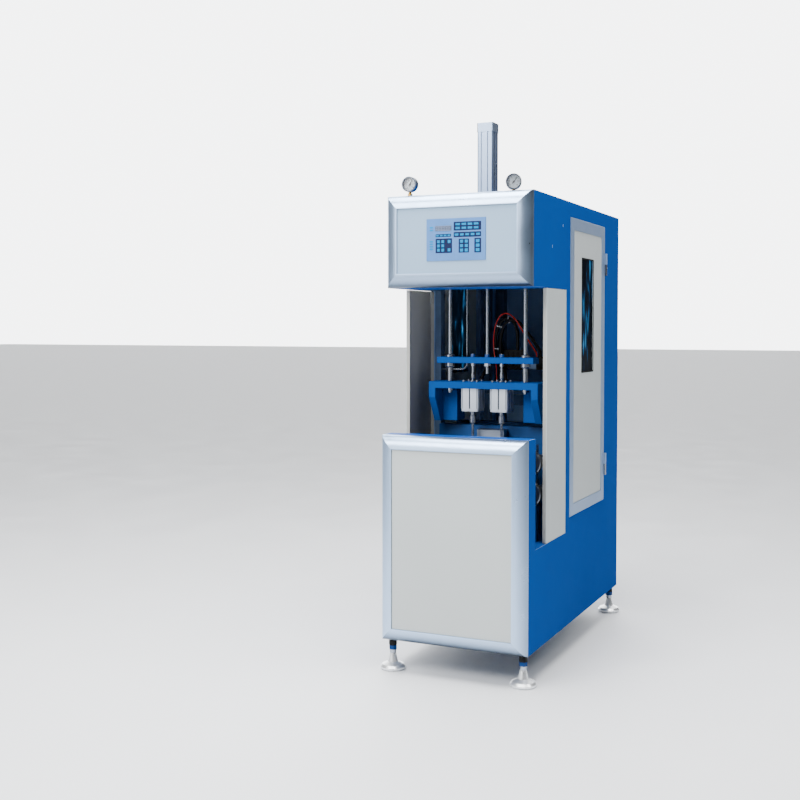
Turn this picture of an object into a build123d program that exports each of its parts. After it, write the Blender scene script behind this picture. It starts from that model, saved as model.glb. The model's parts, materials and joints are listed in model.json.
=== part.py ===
"""Two-cavity stretch blow moulder for plastic bottles: sheet-metal cabinet, mould clamp and stretch unit.

Millimetres. +Z is up, the operator stands at -Y. The pieces are drawn with y = 0 at the cabinet's
front edge and z = 0 on the floor, and are moved to the middle of the footprint when written.
"""
from math import cos, radians, sin, tan
from build123d import *
import os

# Cabinet
body_width = 560.0
body_depth = 1236.0
foot_height = 115.0
sheet = 2.0
front_box_depth = 74.0
front_box_height = 755.0
sill_height = 360.0
head_underside = 1291.0
head_height = 336.0
head_setback = 47.0
rear_body_front = 445.0
flange = 15.0
front_flange = 30.0
side_screws = ((263.0, 184.0), (395.0, 98.0))
side_screw_height = 2.0

# Welded frame
base_tube = 50.0
base_wall = 3.0
frame_tube = 40.0
frame_wall = 2.5
jamb_y = 1000.0
bed_rail_x = 175.0
bed_post_y = 117.0

# Rounded edge profile round both front faces
trim_face = 50.0
trim_depth = 39.0
trim_wall = 3.0
trim_web = 2.0
trim_web_reach = 10.0
mitre_gap = 0.3
panel_recess = 5.0
panel_sheet = 3.0
panel_clearance = 0.4

# Control panel
overlay_width = 226.0
overlay_height = 150.0
overlay_thickness = 3.0
overlay_x = 1.5
overlay_lift = 94.0
key_rise = 0.8
controller_width = 200.0
controller_height = 136.0
controller_depth = 60.0

# Swinging side guards
guard_y0 = 203.0
guard_y1 = 441.0
guard_thickness = 15.0
guard_gap = 2.0
guard_pivot_inset = 8.0
pivot_diameter = 8.0
pivot_length = 44.0
pivot_collar = 10.6
pivot_tube = 13.0
pivot_tube_length = 48.0
guard_fold = 3.0

# Side doors
door_y0 = 492.0
door_y1 = 995.0
door_z0 = 415.0
door_head_gap = 58.0
door_gap = 2.0
door_thickness = 22.0
door_proud = 3.0
door_rail = 45.0
door_wall = 3.0
door_chamfer = 2.0
door_panel_recess = 3.0
window_y0 = 655.0
window_y1 = 822.0
window_head_gap = 208.0
window_height = 449.0
window_lap = 12.0
window_thickness = 4.0
hinge_pin_y = 1000.0
hinge_pin_stand_off = 7.0
hinge_barrel = 10.0
hinge_pin_diameter = 5.0
hinge_length = 93.0
hinge_leaf_width = 25.0
hinge_leaf = 2.0
hinge_insets = (152.0, 157.0)
hinge_split = 0.4

# Fits
running_clearance = 0.05
seat_clearance = 0.1
clear_of_curve = 0.3

# Stretch unit
unit_y = 337.0
cavity_x = 58.5
guide_x = 153.0
guide_diameter = 16.5
guide_low = 895.0
guide_rise = 18.0
guide_nut_flats = 27.0
guide_nut_height = 13.0
guide_end_nut = 25.0
guide_end_nut_height = 11.0
crossplate_lift = 164.0
crossplate_thickness = 15.0
crossplate_depth = 96.0
beam_half = 194.0
beam_depth = 66.0
beam_z = 1010.0
beam_thickness = 23.0
plate_chamfer = 1.5
collar_diameter = 37.0
collar_top = 12.0
collar_bottom = 18.0
sleeve_diameter = 21.5
shank_diameter = 24.0
stretch_diameter = 10.0
stretch_tip_gap = 6.0
stretch_rod_end = 2.0
piston_rod_diameter = 12.0
piston_rod_low = 970.0
rod_nut_flats = 17.0
rod_nut_height = 11.0
low_nut_flats = 14.0
centre_nut_flats = 19.0
centre_low_flats = 24.0

# Stretch cylinder through the roof
cylinder_side = 63.0
cylinder_bore = 50.0
cylinder_rise = 293.0
top_cap_height = 34.0
bottom_cap_height = 26.0
cap_side = 65.0
groove_width = 7.0
groove_depth = 4.0
cap_bore_relief = 6.0
stretch_piston_length = 18.0
roof_hole_clearance = 2.0

# Bridge with the blow cylinders
bridge_half = 219.0
bridge_y0 = 282.0
bridge_depth = 110.0
bridge_z = 914.0
bridge_thickness = 25.0
cheek_thickness = 26.0
cheek_drop = 36.0
cheek_foot_z = 785.0
cheek_foot_y = 337.0
bracket_width = 57.0
bracket_y0 = 367.0
bracket_top = 905.0
blow_side = 72.0
blow_low = 826.0
blow_cap = 10.0
blow_bore = 60.0
blow_groove = 5.0
blow_groove_depth = 4.0
blow_corner = 29.0
blow_wall_top = 8.0
blow_rod = 20.0
blow_air_hole = 13.0
blow_piston_length = 12.0
nozzle_diameter = 26.0
nozzle_low = 778.0
nozzle_high = 811.0
nozzle_up = 2.0
nozzle_down = 36.0
gland_height = 36.0
gland_base = 26.0
gland_neck = 13.0
screw_pitch = 54.0
screw_head = 11.0
screw_head_height = 7.0

# Mould and clamp
mould_top = 716.0
mould_height = 312.0
mould_half_width = 125.0
mould_half_depth = 85.0
mould_parting_gap = 0.1
mould_chamfer = 1.5
land_half_width = 54.0
land_depth = 50.0
land_height = 37.0
land_edge = 2.0
cooling_bore = 10.0
cooling_inset = 18.0
cooling_pitch = 95.0
bottle_diameter = 88.0
bottle_length = 262.0
bottle_shoulder = 66.0
neck_diameter = 27.0
neck_length = 12.0
base_fillet = 10.0
platen_thickness = 30.0
platen_half = 234.0
platen_top = 765.0
platen_lift = 6.0
front_platen_rise = 2.0
rear_platen_y = 604.0
rear_platen_thickness = 36.0
tie_bar_x = 212.0
tie_bar_heights = (539.0, 654.0)
tie_bar_diameter = 30.0
tie_nut_diameter = 98.0
tie_nut_thickness = 32.0
rear_nut_diameter = 54.0
rear_nut_thickness = 24.0
spanner_slot = 9.0
nut_chamfer = 3.0
nut_recess = 4.0
bush_wall = 4.0
bush_projection = 8.0
clamp_stroke = 110.0
clamp_axis_z = 596.0
clamp_bore = 125.0
clamp_tube_wall = 5.0
clamp_cap_side = 150.0
clamp_cap = 28.0
clamp_stay = 14.0
clamp_rod_inset = 13.0
clamp_rod_diameter = 40.0
clamp_flange_diameter = 84.0
clamp_flange = 14.0
clamp_piston_length = 22.0
clamp_end_room = 6.0

# Gauges on the roof
gauge_x = 200.0
gauge_y = 62.0
gauge_lifts = (43.0, 32.0)
gauge_turns = (0.0, 18.0)
gauge_diameter = 56.0
gauge_depth = 26.0
gauge_rim = 2.5
gauge_stem_diameter = 12.0
gauge_nut_flats = 17.0
gauge_nut_height = 8.0
gauge_stem_depth = 24.0
lock_nut_height = 6.0
gauge_floor = 3.0
needle_hub = 6.0
needle_blade = 0.8
dial_thickness = 1.0
glass_thickness = 2.0
needle_turns = (25.0, 38.0)

# Air supply
valve_x0 = 18.0
valve_x1 = 118.0
valve_z0 = 985.0
valve_z1 = 1060.0
valve_depth = 34.0
valve_count = 5
manifold_x0 = 172.0
manifold_x1 = 222.0
manifold_z1 = 1035.0
valve_arm_x = 40.0
hose_diameter = 12.0
hose_gap = 4.0
hose_start = 42.0
hose_arch = 298.0
elbow_lift = 25.0
elbow_cup = 17.0
wire_diameter = 4.0
pipe_diameter = 8.0
pipe_x = -134.0
pipe_low = 980.0
pipe_bend = 24.0
rear_reach = 22.0
inlet_x = -140.0
gland_x = 140.0
rear_fitting_z = 210.0
inlet_bore = 13.0
inlet_flats = 30.0
cable_bore = 14.0
slot_length = 120.0
slot_middle_z = 430.0
slot_column_x = 120.0
slot_width = 8.0
slot_pitch = 26.0
slot_rows = 8

# Levelling feet
foot_x = 253.0
foot_inset = 28.0
foot_disc = 94.0
foot_disc_height = 24.0
foot_cone_top = 60.0
foot_neck = 18.0
stud_diameter = 16.0
foot_nut_flats = 27.0
foot_nut_height = 18.0
foot_boss = 30.0
foot_washer = 13.0
foot_collar = 4.0

# Derived places
half_width = body_width / 2
inside = half_width - sheet
under = foot_height
body_height = head_underside + head_height
roof_top = under + body_height
crossplate_z = head_underside + crossplate_lift
door_z1 = body_height - door_head_gap
window_z1 = body_height - window_head_gap
window_z0 = window_z1 - window_height
hinge_heights = (door_z0 + hinge_insets[0], door_z1 - hinge_insets[1])
door_face = half_width + door_proud
clamp_y0 = unit_y - mould_half_depth - platen_thickness
moving_platen_y = unit_y + mould_half_depth
cavity_base = mould_top - bottle_length
stretch_top = beam_z + beam_thickness + rod_nut_height + stretch_rod_end
stretch_tip = cavity_base + stretch_tip_gap
post_y = rear_body_front + sheet
rear_post_y = body_depth - sheet - frame_tube
frame_inside = inside - frame_tube
middle_y = (body_depth + rear_reach - trim_depth) / 2


def block(x0, x1, y0, y1, z0, z1):
    """Rectangular solid between two corners."""
    size = Box(x1 - x0, y1 - y0, z1 - z0)
    return Pos((x0 + x1) / 2, (y0 + y1) / 2, (z0 + z1) / 2) * size


def rod_z(diameter, x, y, z0, z1):
    """Upright round bar."""
    return Pos(x, y, (z0 + z1) / 2) * Cylinder(diameter / 2, z1 - z0)


def rod_y(diameter, x, z, y0, y1):
    """Round bar along the machine."""
    return Pos(x, (y0 + y1) / 2, z) * Rot(90, 0, 0) * Cylinder(diameter / 2, y1 - y0)


def rod_x(diameter, y, z, x0, x1):
    """Round bar across the machine."""
    return Pos((x0 + x1) / 2, y, z) * Rot(0, 90, 0) * Cylinder(diameter / 2, x1 - x0)


def hex_z(flats, x, y, z0, z1, hole=0.0):
    """Upright hexagon nut with an optional plain hole."""
    nut = extrude(RegularPolygon(flats / 2, 6, major_radius=False), z1 - z0)
    if hole:
        nut -= Pos(0, 0, (z1 - z0) / 2) * Cylinder(hole / 2, z1 - z0)
    return Pos(x, y, z0) * nut


def turned(points, x=0.0, y=0.0):
    """Solid of revolution about an upright axis, from (radius, height) corners."""
    profile = Plane.XZ * make_face(Polyline(*points, close=True))
    return Pos(x, y, 0) * revolve(profile, Axis.Z)


def side_sheet(points, x0, thickness):
    """Plate parallel to the cabinet's sides, from (y, z) corners."""
    outline = Plane.YZ * make_face(Polyline(*points, close=True))
    return Pos(x0, 0, 0) * extrude(outline, thickness)


def tube(axis, size, wall, length, x, y, z):
    """Square tube along one axis, open at both ends, from its low corner (x, y, z)."""
    spans = {"x": (length, size, size), "y": (size, length, size), "z": (size, size, length)}
    bores = {"x": (length, size - 2 * wall, size - 2 * wall),
             "y": (size - 2 * wall, length, size - 2 * wall),
             "z": (size - 2 * wall, size - 2 * wall, length)}
    outer = spans[axis]
    middle = Pos(x + outer[0] / 2, y + outer[1] / 2, z + outer[2] / 2)
    return middle * (Box(*outer) - Box(*bores[axis]))


def mirrored(pieces):
    """The pieces and their mirror images across the machine's middle plane."""
    return pieces + [mirror(piece, Plane.YZ) for piece in pieces]


def mitred_length(section, length, reach, depth):
    """Straight profile along X with its outer edge on z = 0, cut at 45 degrees at both ends."""
    bar = Pos(-length / 2, 0, 0) * extrude(Plane.YZ * section, length)
    half = length / 2 - mitre_gap
    corners = [(-half, 0), (half, 0), (half - reach, reach), (-half + reach, reach)]
    keep = Plane.XZ * make_face(Polyline(*corners, close=True))
    wedge = Pos(0, depth, 0) * extrude(keep, 2 * depth)
    return bar & wedge


def mitred_frame(section, width, height, reach, depth):
    """Four mitred lengths round a rectangle that stands in the XZ plane, centred on the origin."""
    pieces = []
    for turn, length, offset in ((0, width, height), (90, height, width),
                                 (180, width, height), (270, height, width)):
        bar = mitred_length(section, length, reach, depth)
        pieces.append(Rot(0, turn, 0) * Pos(0, 0, -offset / 2) * bar)
    return pieces


def trim_section():
    """Edge profile: quarter-ellipse nose, flat back leg, and a web that carries the panel."""
    nose = make_face(Polyline((0, 0), (0, trim_face), (-trim_depth, trim_face))
                     + EllipticalCenterArc((0, trim_face), trim_depth, trim_face,
                                           start_angle=180, arc_size=90))
    hollow_depth = trim_depth - trim_wall
    hollow = make_face(Polyline((0, trim_wall), (0, trim_face), (-hollow_depth, trim_face))
                       + EllipticalCenterArc((0, trim_face), hollow_depth, trim_face - trim_wall,
                                             start_angle=180, arc_size=90))
    seat = trim_depth - panel_recess - panel_sheet
    inner_lip = Pos(-(seat + trim_depth) / 2, trim_face - trim_wall / 2) * Rectangle(
        trim_depth - seat, trim_wall)
    web = Pos(-seat + trim_web / 2, trim_face - trim_wall + (trim_wall + trim_web_reach) / 2) * Rectangle(
        trim_web, trim_wall + trim_web_reach)
    web_leg = Pos(-seat / 2, trim_face - trim_wall / 2) * Rectangle(seat, trim_wall)
    back_leg = Pos(-trim_web / 2, trim_face / 2) * Rectangle(trim_web, trim_face)
    return (nose - hollow) + inner_lip + web + web_leg + back_leg


def edge_trims():
    """Both rounded frames: round the lower front and round the head."""
    section = trim_section()
    reach = trim_face + trim_web_reach
    lower = mitred_frame(section, body_width, front_box_height, reach, trim_depth)
    head = mitred_frame(section, body_width, head_height, reach, trim_depth)
    lower_place = Pos(0, 0, under + front_box_height / 2)
    head_place = Pos(0, head_setback, under + head_underside + head_height / 2)
    return [lower_place * bar for bar in lower] + [head_place * bar for bar in head]


def front_panel(front_y, z0, z1):
    """Flat panel that sits inside the rounded frame, against its web."""
    half = half_width - trim_face - panel_clearance
    outer = front_y - (trim_depth - panel_recess)
    edge = trim_face + panel_clearance
    return block(-half, half, outer, outer + panel_sheet, under + z0 + edge, under + z1 - edge)


def side_panel_right():
    """Folded side sheet: stepped outline, door opening, and flanges at its front edges."""
    outline = [(0, 0), (0, front_box_height), (front_box_depth, front_box_height),
               (front_box_depth, sill_height), (rear_body_front, sill_height),
               (rear_body_front, head_underside), (head_setback, head_underside),
               (head_setback, body_height), (body_depth, body_height), (body_depth, 0)]
    panel = side_sheet([(y, under + z) for y, z in outline], inside, sheet)
    panel -= block(inside - 1, half_width + 1, door_y0 - door_gap, door_y1 + door_gap,
                   under + door_z0 - door_gap, under + door_z1 + door_gap)
    panel += block(inside - front_flange, inside, 0, sheet, under + sheet, under + front_box_height - sheet)
    panel += block(inside - front_flange, inside, head_setback, head_setback + sheet,
                   under + head_underside + sheet, under + body_height - sheet)
    panel += block(inside - flange, inside, rear_body_front, rear_body_front + sheet,
                   under + sill_height + sheet, under + head_underside)
    for y, drop in side_screws:
        panel += rod_x(screw_head, y, roof_top - drop, half_width - sheet / 2,
                       half_width + side_screw_height)
    return panel


def rear_panel():
    """Back sheet with two columns of ventilation slots and holes for the rear fittings."""
    panel = block(-inside, inside, body_depth - sheet, body_depth, under, roof_top - sheet)
    slot = Rot(90, 0, 0) * extrude(SlotOverall(slot_length, slot_width), sheet * 3, both=True)
    for column in (-1, 1):
        for row in range(slot_rows):
            height = under + slot_middle_z + (row - (slot_rows - 1) / 2) * slot_pitch
            panel -= Pos(column * slot_column_x, body_depth - sheet / 2, height) * slot
    for x, bore in ((inlet_x, inlet_bore + 8), (gland_x, cable_bore + 8)):
        panel -= rod_y(bore, x, under + rear_fitting_z, body_depth - 2 * sheet, body_depth + sheet)
    return panel


def roof_panel():
    """Roof sheet with the hole for the stretch cylinder and the gauge stems."""
    panel = block(-inside, inside, head_setback + sheet, body_depth, roof_top - sheet, roof_top)
    opening = cylinder_side / 2 + roof_hole_clearance
    panel -= block(-opening, opening, unit_y - opening, unit_y + opening,
                   roof_top - 2 * sheet, roof_top + sheet)
    for side in (-1, 1):
        panel -= rod_z(gauge_stem_diameter + 2 * seat_clearance, side * gauge_x, gauge_y,
                       roof_top - 2 * sheet, roof_top + sheet)
    return panel


def front_box_liner():
    """Folded sheet behind the lower front: top cover, back wall and the deck under the clamp."""
    top = under + front_box_height
    deck = under + sill_height
    liner = block(-inside, inside, sheet, front_box_depth, top - sheet, top)
    liner += block(-inside, inside, front_box_depth - sheet, front_box_depth, deck - sheet, top)
    liner += block(-inside, inside, front_box_depth - sheet, rear_body_front, deck - sheet, deck)
    liner += block(-frame_inside, frame_inside, rear_body_front, rear_platen_y + rear_platen_thickness,
                   deck - sheet, deck)
    return liner


def head_floor():
    """Sheet that closes the head from below, in front of the stretch unit."""
    return block(-inside, inside, head_setback + sheet, unit_y - beam_depth, under + head_underside,
                 under + head_underside + sheet)


def base_frame():
    """Square-tube ring on the feet, cross tubes, posts and the two bed rails under the clamp."""
    long_y0 = sheet
    long_y1 = body_depth - sheet
    outer_x = inside - base_tube
    z = under
    pieces = mirrored([tube("y", base_tube, base_wall, long_y1 - long_y0, outer_x, long_y0, z)])
    bed_rear_y = rear_platen_y + rear_platen_thickness - base_tube
    crossings = (long_y0, bed_post_y - base_tube / 2, bed_rear_y, long_y1 - base_tube)
    for y in crossings:
        pieces.append(tube("x", base_tube, base_wall, 2 * outer_x, -outer_x, y, z))
    rail_z = under + sill_height - sheet - base_tube
    post_height = rail_z - z - base_tube
    rail_x = bed_rail_x - base_tube / 2
    rail_y0 = bed_post_y - base_tube / 2
    bed = [tube("y", base_tube, base_wall, bed_rear_y + base_tube - rail_y0, rail_x, rail_y0, rail_z)]
    for y in (rail_y0, bed_rear_y):
        bed.append(tube("z", base_tube, base_wall, post_height, rail_x, y, z + base_tube))
    return pieces + mirrored(bed)


def upper_frame():
    """Posts, jambs and rails of the tall cabinet and the overhanging head."""
    size = frame_tube
    wall = frame_wall
    foot = under + base_tube
    top = roof_top - sheet
    x = frame_inside
    head_low = under + head_underside + sheet
    head_front = head_setback + sheet
    crossplate = under + crossplate_z
    side = [
        tube("z", size, wall, top - foot, x, rear_post_y, foot),
        tube("z", size, wall, top - size - foot, x, jamb_y, foot),
        tube("z", size, wall, top - size - foot, x, post_y, foot),
        tube("y", size, wall, rear_post_y - head_front, x, head_front, top - size),
        tube("z", size, wall, top - size - head_low, x, head_front, head_low),
        tube("y", size, wall, post_y - head_front - size, x, head_front + size, head_low),
        tube("y", size, wall, post_y - head_front - size, x, head_front + size, crossplate - size),
    ]
    cross_y = head_front + 2 * size
    across = [
        tube("x", size, wall, 2 * x, -x, cross_y, top - size),
        tube("x", size, wall, 2 * x, -x, post_y, top - size),
        tube("x", size, wall, 2 * x, -x, rear_post_y, top - size),
        tube("x", size, wall, 2 * x, -x, post_y, under + bracket_top - 1.5 * size),
        tube("x", size, wall, x - valve_arm_x, valve_arm_x, post_y, under + valve_z0),
    ]
    return mirrored(side) + across


def feet():
    """Disc feet with their studs, lock nuts and the bosses under the frame."""
    pads, studs, nuts = [], [], []
    nut_low = foot_cone_top + foot_washer
    for x in (-foot_x, foot_x):
        for y in (foot_inset, body_depth - foot_inset):
            edge = foot_disc / 2
            pads.append(turned([(0, 0), (edge - 5, 0), (edge, 5), (edge, 11),
                                (edge - 7, foot_disc_height - 5),
                                (foot_neck * 1.05, foot_disc_height + 4), (foot_neck * 0.62, foot_cone_top),
                                (stud_diameter / 2, foot_cone_top), (stud_diameter / 2, foot_disc_height),
                                (0, foot_disc_height)], x, y))
            stud = rod_z(stud_diameter, x, y, foot_disc_height, under)
            stud += rod_z(stud_diameter + 2 * foot_collar, x, y, foot_cone_top, nut_low)
            studs.append(stud)
            nuts.append(hex_z(foot_nut_flats, x, y, nut_low, nut_low + foot_nut_height,
                              stud_diameter + 2 * seat_clearance))
            boss = rod_z(foot_boss, x, y, nut_low + foot_nut_height, under)
            nuts.append(boss - rod_z(stud_diameter + 2 * seat_clearance, x, y, nut_low, under))
    return pads, studs, nuts


def guard_right():
    """Folded tray that closes the side beside the stretch unit, with pivot holes top and bottom."""
    z0 = under + sill_height + guard_gap
    z1 = under + head_underside - guard_gap
    tray = block(half_width - guard_thickness, half_width, guard_y0, guard_y1, z0, z1)
    tray = fillet(tray.edges().filter_by(Axis.Z).group_by(Axis.X)[-1], guard_fold)
    lip = sheet + 1
    tray -= block(half_width - guard_thickness - 1, half_width - sheet, guard_y0 + sheet, guard_y1 - sheet,
                  z0 + lip, z1 - lip)
    x = half_width - guard_thickness / 2
    y = guard_y1 - guard_pivot_inset
    tray += rod_z(pivot_tube, x, y, z0, z0 + pivot_tube_length)
    tray += rod_z(pivot_tube, x, y, z1 - pivot_tube_length, z1)
    return tray - rod_z(pivot_diameter + 2 * running_clearance, x, y, z0 - 1, z1 + 1)


def guard_pivots():
    """Pins that stand on the deck and hang from the head frame for the two guards."""
    x = half_width - guard_thickness / 2
    y = guard_y1 - guard_pivot_inset
    deck = under + sill_height
    ceiling = under + head_underside + sheet
    tray_low = deck + guard_gap
    tray_high = under + head_underside - guard_gap
    lower = rod_z(pivot_diameter, x, y, deck, deck + pivot_length)
    lower += rod_z(pivot_collar, x, y, deck, tray_low - clear_of_curve)
    upper = rod_z(pivot_diameter, x, y, ceiling - pivot_length, ceiling)
    upper += rod_z(pivot_collar, x, y, tray_high + clear_of_curve, ceiling)
    return mirrored([lower, upper])


def door_section():
    """Rail of the side door: flat face, chamfered outer edge and a web behind the panel."""
    web_back = door_panel_recess + panel_sheet
    rail = make_face(Polyline((-door_thickness, 0), (-door_chamfer, 0), (0, door_chamfer), (0, door_rail),
                              (-door_thickness, door_rail), close=True))
    core = Rectangle(door_thickness - 3 * door_wall, door_rail - 2 * door_wall)
    web = Rectangle(trim_web, trim_web_reach)
    rail -= Pos(-door_thickness / 2 - door_wall / 2, door_rail / 2) * core
    return rail + Pos(-web_back - trim_web / 2, door_rail + trim_web_reach / 2) * web


def door_place():
    """From the upright XZ frame to the right-hand side: the face turns to +X."""
    middle = Pos(door_face, (door_y0 + door_y1) / 2, under + (door_z0 + door_z1) / 2)
    return middle * Rot(0, 0, -90)


def hinge_half(height, low, high, on_door):
    """One half of a lift-off hinge: leaf and barrel, with the pin on the cabinet's half."""
    x = half_width + hinge_pin_stand_off
    barrel = rod_z(hinge_barrel, x, hinge_pin_y, low, high)
    if on_door:
        leaf = block(door_face, door_face + hinge_leaf, hinge_pin_y - hinge_leaf_width, hinge_pin_y,
                     low, high)
        half = leaf + barrel
        return half - rod_z(hinge_pin_diameter + 2 * running_clearance, x, hinge_pin_y, low, high)
    leaf = block(half_width, half_width + hinge_leaf, hinge_pin_y, hinge_pin_y + hinge_leaf_width,
                 low, high)
    pin = rod_z(hinge_pin_diameter, x, hinge_pin_y, low, height + hinge_length / 2)
    return leaf + barrel + pin


def door_frame_right():
    """Four mitred rails and the door halves of the two hinges."""
    width = door_y1 - door_y0
    height = door_z1 - door_z0
    section = door_section()
    rails = mitred_frame(section, width, height, door_rail + trim_web_reach, door_thickness)
    pieces = [door_place() * rail for rail in rails]
    for centre in hinge_heights:
        middle = under + centre
        pieces.append(hinge_half(middle, middle + hinge_split, middle + hinge_length / 2, True))
    return pieces


def door_panel_right():
    """Flat panel in the door frame with the window opening."""
    outer = door_face - door_panel_recess
    edge = door_rail + panel_clearance
    panel = block(outer - panel_sheet, outer, door_y0 + edge, door_y1 - edge,
                  under + door_z0 + edge, under + door_z1 - edge)
    return panel - block(outer - 2 * panel_sheet, outer + 1, window_y0, window_y1,
                         under + window_z0, under + window_z1)


def door_window_right():
    """Pane fixed behind the panel, lapping the opening all round."""
    front = door_face - door_panel_recess - panel_sheet
    return block(front - window_thickness, front, window_y0 - window_lap, window_y1 + window_lap,
                 under + window_z0 - window_lap, under + window_z1 + window_lap)


def cabinet_hinges():
    """Cabinet halves of the door hinges, each with its pin."""
    halves = []
    for centre in hinge_heights:
        middle = under + centre
        halves.append(hinge_half(middle, middle - hinge_length / 2, middle - hinge_split, False))
    return mirrored(halves)


def overlay_point(u, v):
    """Point on the control overlay, as shares of its width and height from the top left corner."""
    x = overlay_x + (u - 0.5) * overlay_width
    z = under + head_underside + overlay_lift + (1 - v) * overlay_height
    return x, z


def control_face_y():
    """Front surface of the head's panel."""
    return head_setback - (trim_depth - panel_recess)


def controller():
    """Panel-mounted controller: flat front plate and the housing behind it."""
    x, z = overlay_point(0.5, 0.5)
    front = control_face_y()
    plate = block(x - overlay_width / 2, x + overlay_width / 2, front - overlay_thickness, front,
                  z - overlay_height / 2, z + overlay_height / 2)
    return plate + controller_body(0.0, front, front + controller_depth)


def controller_body(gap, y0, y1):
    """Block the size of the controller's housing, larger by a gap all round."""
    x, z = overlay_point(0.5, 0.5)
    half = controller_width / 2 + gap
    half_height = controller_height / 2 + gap
    return block(x - half, x + half, y0, y1, z - half_height, z + half_height)


def head_front_panel():
    """Head's front panel with the cut-out for the controller."""
    face = control_face_y()
    panel = front_panel(head_setback, head_underside, body_height)
    return panel - controller_body(panel_clearance, face - 1, face + panel_sheet + 1)


def pad(u0, u1, v0, v1):
    """Raised field of the overlay between two corners, as shares of its size."""
    x0, z1 = overlay_point(u0, v0)
    x1, z0 = overlay_point(u1, v1)
    face = control_face_y() - overlay_thickness
    return block(x0, x1, face - key_rise, face, z0, z1)


def key_grid(columns, rows, width, height):
    """Equal keys centred on every crossing of the given columns and rows."""
    half = width / 2
    rise = height / 2
    return [pad(u - half, u + half, v - rise, v + rise) for v in rows for u in columns]


def control_keys():
    """Membrane keys, lamps and the figure window of the controller."""
    keys = key_grid((0.535, 0.638, 0.741, 0.844), (0.145, 0.235), 0.075, 0.05)
    keys += key_grid((0.515, 0.605, 0.695, 0.785, 0.875), (0.39,), 0.06, 0.05)
    keys += key_grid((0.19, 0.255, 0.32, 0.385), (0.40,), 0.045, 0.035)
    keys += key_grid((0.207, 0.281, 0.389), (0.545, 0.745), 0.045, 0.07)
    keys += key_grid((0.207, 0.281), (0.645,), 0.045, 0.07)
    keys += key_grid((0.60, 0.68), (0.55, 0.655, 0.76), 0.05, 0.07)
    keys += key_grid((0.87,), (0.55, 0.655, 0.76), 0.06, 0.07)
    keys += key_grid((0.085,), (0.205, 0.27, 0.54, 0.60, 0.66, 0.72), 0.055, 0.035)
    keys.append(pad(0.15, 0.43, 0.175, 0.29))
    return keys


def crossplate():
    """Plate in the head that carries the stretch cylinder and the guide rods."""
    y0 = unit_y - crossplate_depth / 2
    z0 = under + crossplate_z
    plate = block(-inside, inside, y0, y0 + crossplate_depth, z0, z0 + crossplate_thickness)
    holes = [(0, piston_rod_diameter + 4), (-guide_x, guide_diameter + 2 * seat_clearance),
             (guide_x, guide_diameter + 2 * seat_clearance)]
    for x, diameter in holes:
        plate -= rod_z(diameter, x, unit_y, z0 - 1, z0 + crossplate_thickness + 1)
    return plate


def cylinder_profile(side):
    """Square extrusion with rounded corners and two grooves in each face."""
    outline = RectangleRounded(side, side, 6)
    for turn in range(4):
        for offset in (-side / 5, side / 5):
            outline -= Rot(0, 0, 90 * turn) * Pos(offset, side / 2 - groove_depth / 2) * Rectangle(
                groove_width, groove_depth)
    return outline


def stretch_cylinder():
    """Grooved tube and the two caps of the long stretch cylinder."""
    seat = under + crossplate_z + crossplate_thickness
    tube_low = seat + bottom_cap_height
    tube_high = roof_top + cylinder_rise - top_cap_height
    profile = cylinder_profile(cylinder_side) - Circle(cylinder_bore / 2)
    barrel = Pos(0, unit_y, tube_low) * extrude(profile, tube_high - tube_low)
    lower = extrude(RectangleRounded(cap_side, cap_side, 5), bottom_cap_height)
    lower -= Pos(0, 0, bottom_cap_height / 2) * Cylinder(
        piston_rod_diameter / 2 + running_clearance, bottom_cap_height)
    upper = extrude(RectangleRounded(cap_side, cap_side, 5), top_cap_height)
    for x in (-1, 1):
        for y in (-1, 1):
            place = Pos(x * cap_side * 0.35, y * cap_side * 0.35, top_cap_height - cap_bore_relief / 2)
            upper -= place * Cylinder(screw_head / 2, cap_bore_relief)
    caps = [Pos(0, unit_y, seat) * lower, Pos(0, unit_y, tube_high) * upper]
    return barrel, caps


def stretch_piston():
    """Piston and its long rod down to the beam."""
    cylinder_low = under + crossplate_z + crossplate_thickness + bottom_cap_height
    piston_low = cylinder_low + 2
    piston_high = piston_low + stretch_piston_length
    rod = rod_z(piston_rod_diameter, 0, unit_y, under + piston_rod_low, piston_high)
    return rod + rod_z(cylinder_bore - 2 * running_clearance, 0, unit_y, piston_low, piston_high)


def guide_rods():
    """Two ground rods from the crossplate to the bridge."""
    top = under + crossplate_z + crossplate_thickness + guide_rise
    return mirrored([rod_z(guide_diameter, guide_x, unit_y, under + guide_low, top)])


def guide_nuts():
    """Nuts on both ends of the guide rods, above the crossplate and under the bridge."""
    hole = guide_diameter + 2 * seat_clearance
    top = under + crossplate_z + crossplate_thickness
    bridge = under + bridge_z
    upper = hex_z(guide_nut_flats, guide_x, unit_y, top, top + guide_nut_height, hole)
    lower = rod_z(guide_end_nut, guide_x, unit_y, bridge - guide_end_nut_height, bridge)
    lower -= rod_z(hole, guide_x, unit_y, bridge - guide_end_nut_height - 1, bridge)
    return mirrored([upper, lower])


def stretch_beam():
    """Flat beam that carries the stretch rods and runs on the guide rods."""
    z0 = under + beam_z
    reach = beam_depth / 2
    beam = block(-beam_half, beam_half, unit_y - reach, unit_y + reach, z0, z0 + beam_thickness)
    beam = chamfer(beam.edges().filter_by(Axis.X), plate_chamfer)
    holes = [(-guide_x, shank_diameter), (guide_x, shank_diameter), (0, piston_rod_diameter),
             (-cavity_x, stretch_diameter), (cavity_x, stretch_diameter)]
    for x, diameter in holes:
        beam -= rod_z(diameter + 2 * seat_clearance, x, unit_y, z0 - 1, z0 + beam_thickness + 1)
    return beam


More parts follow.
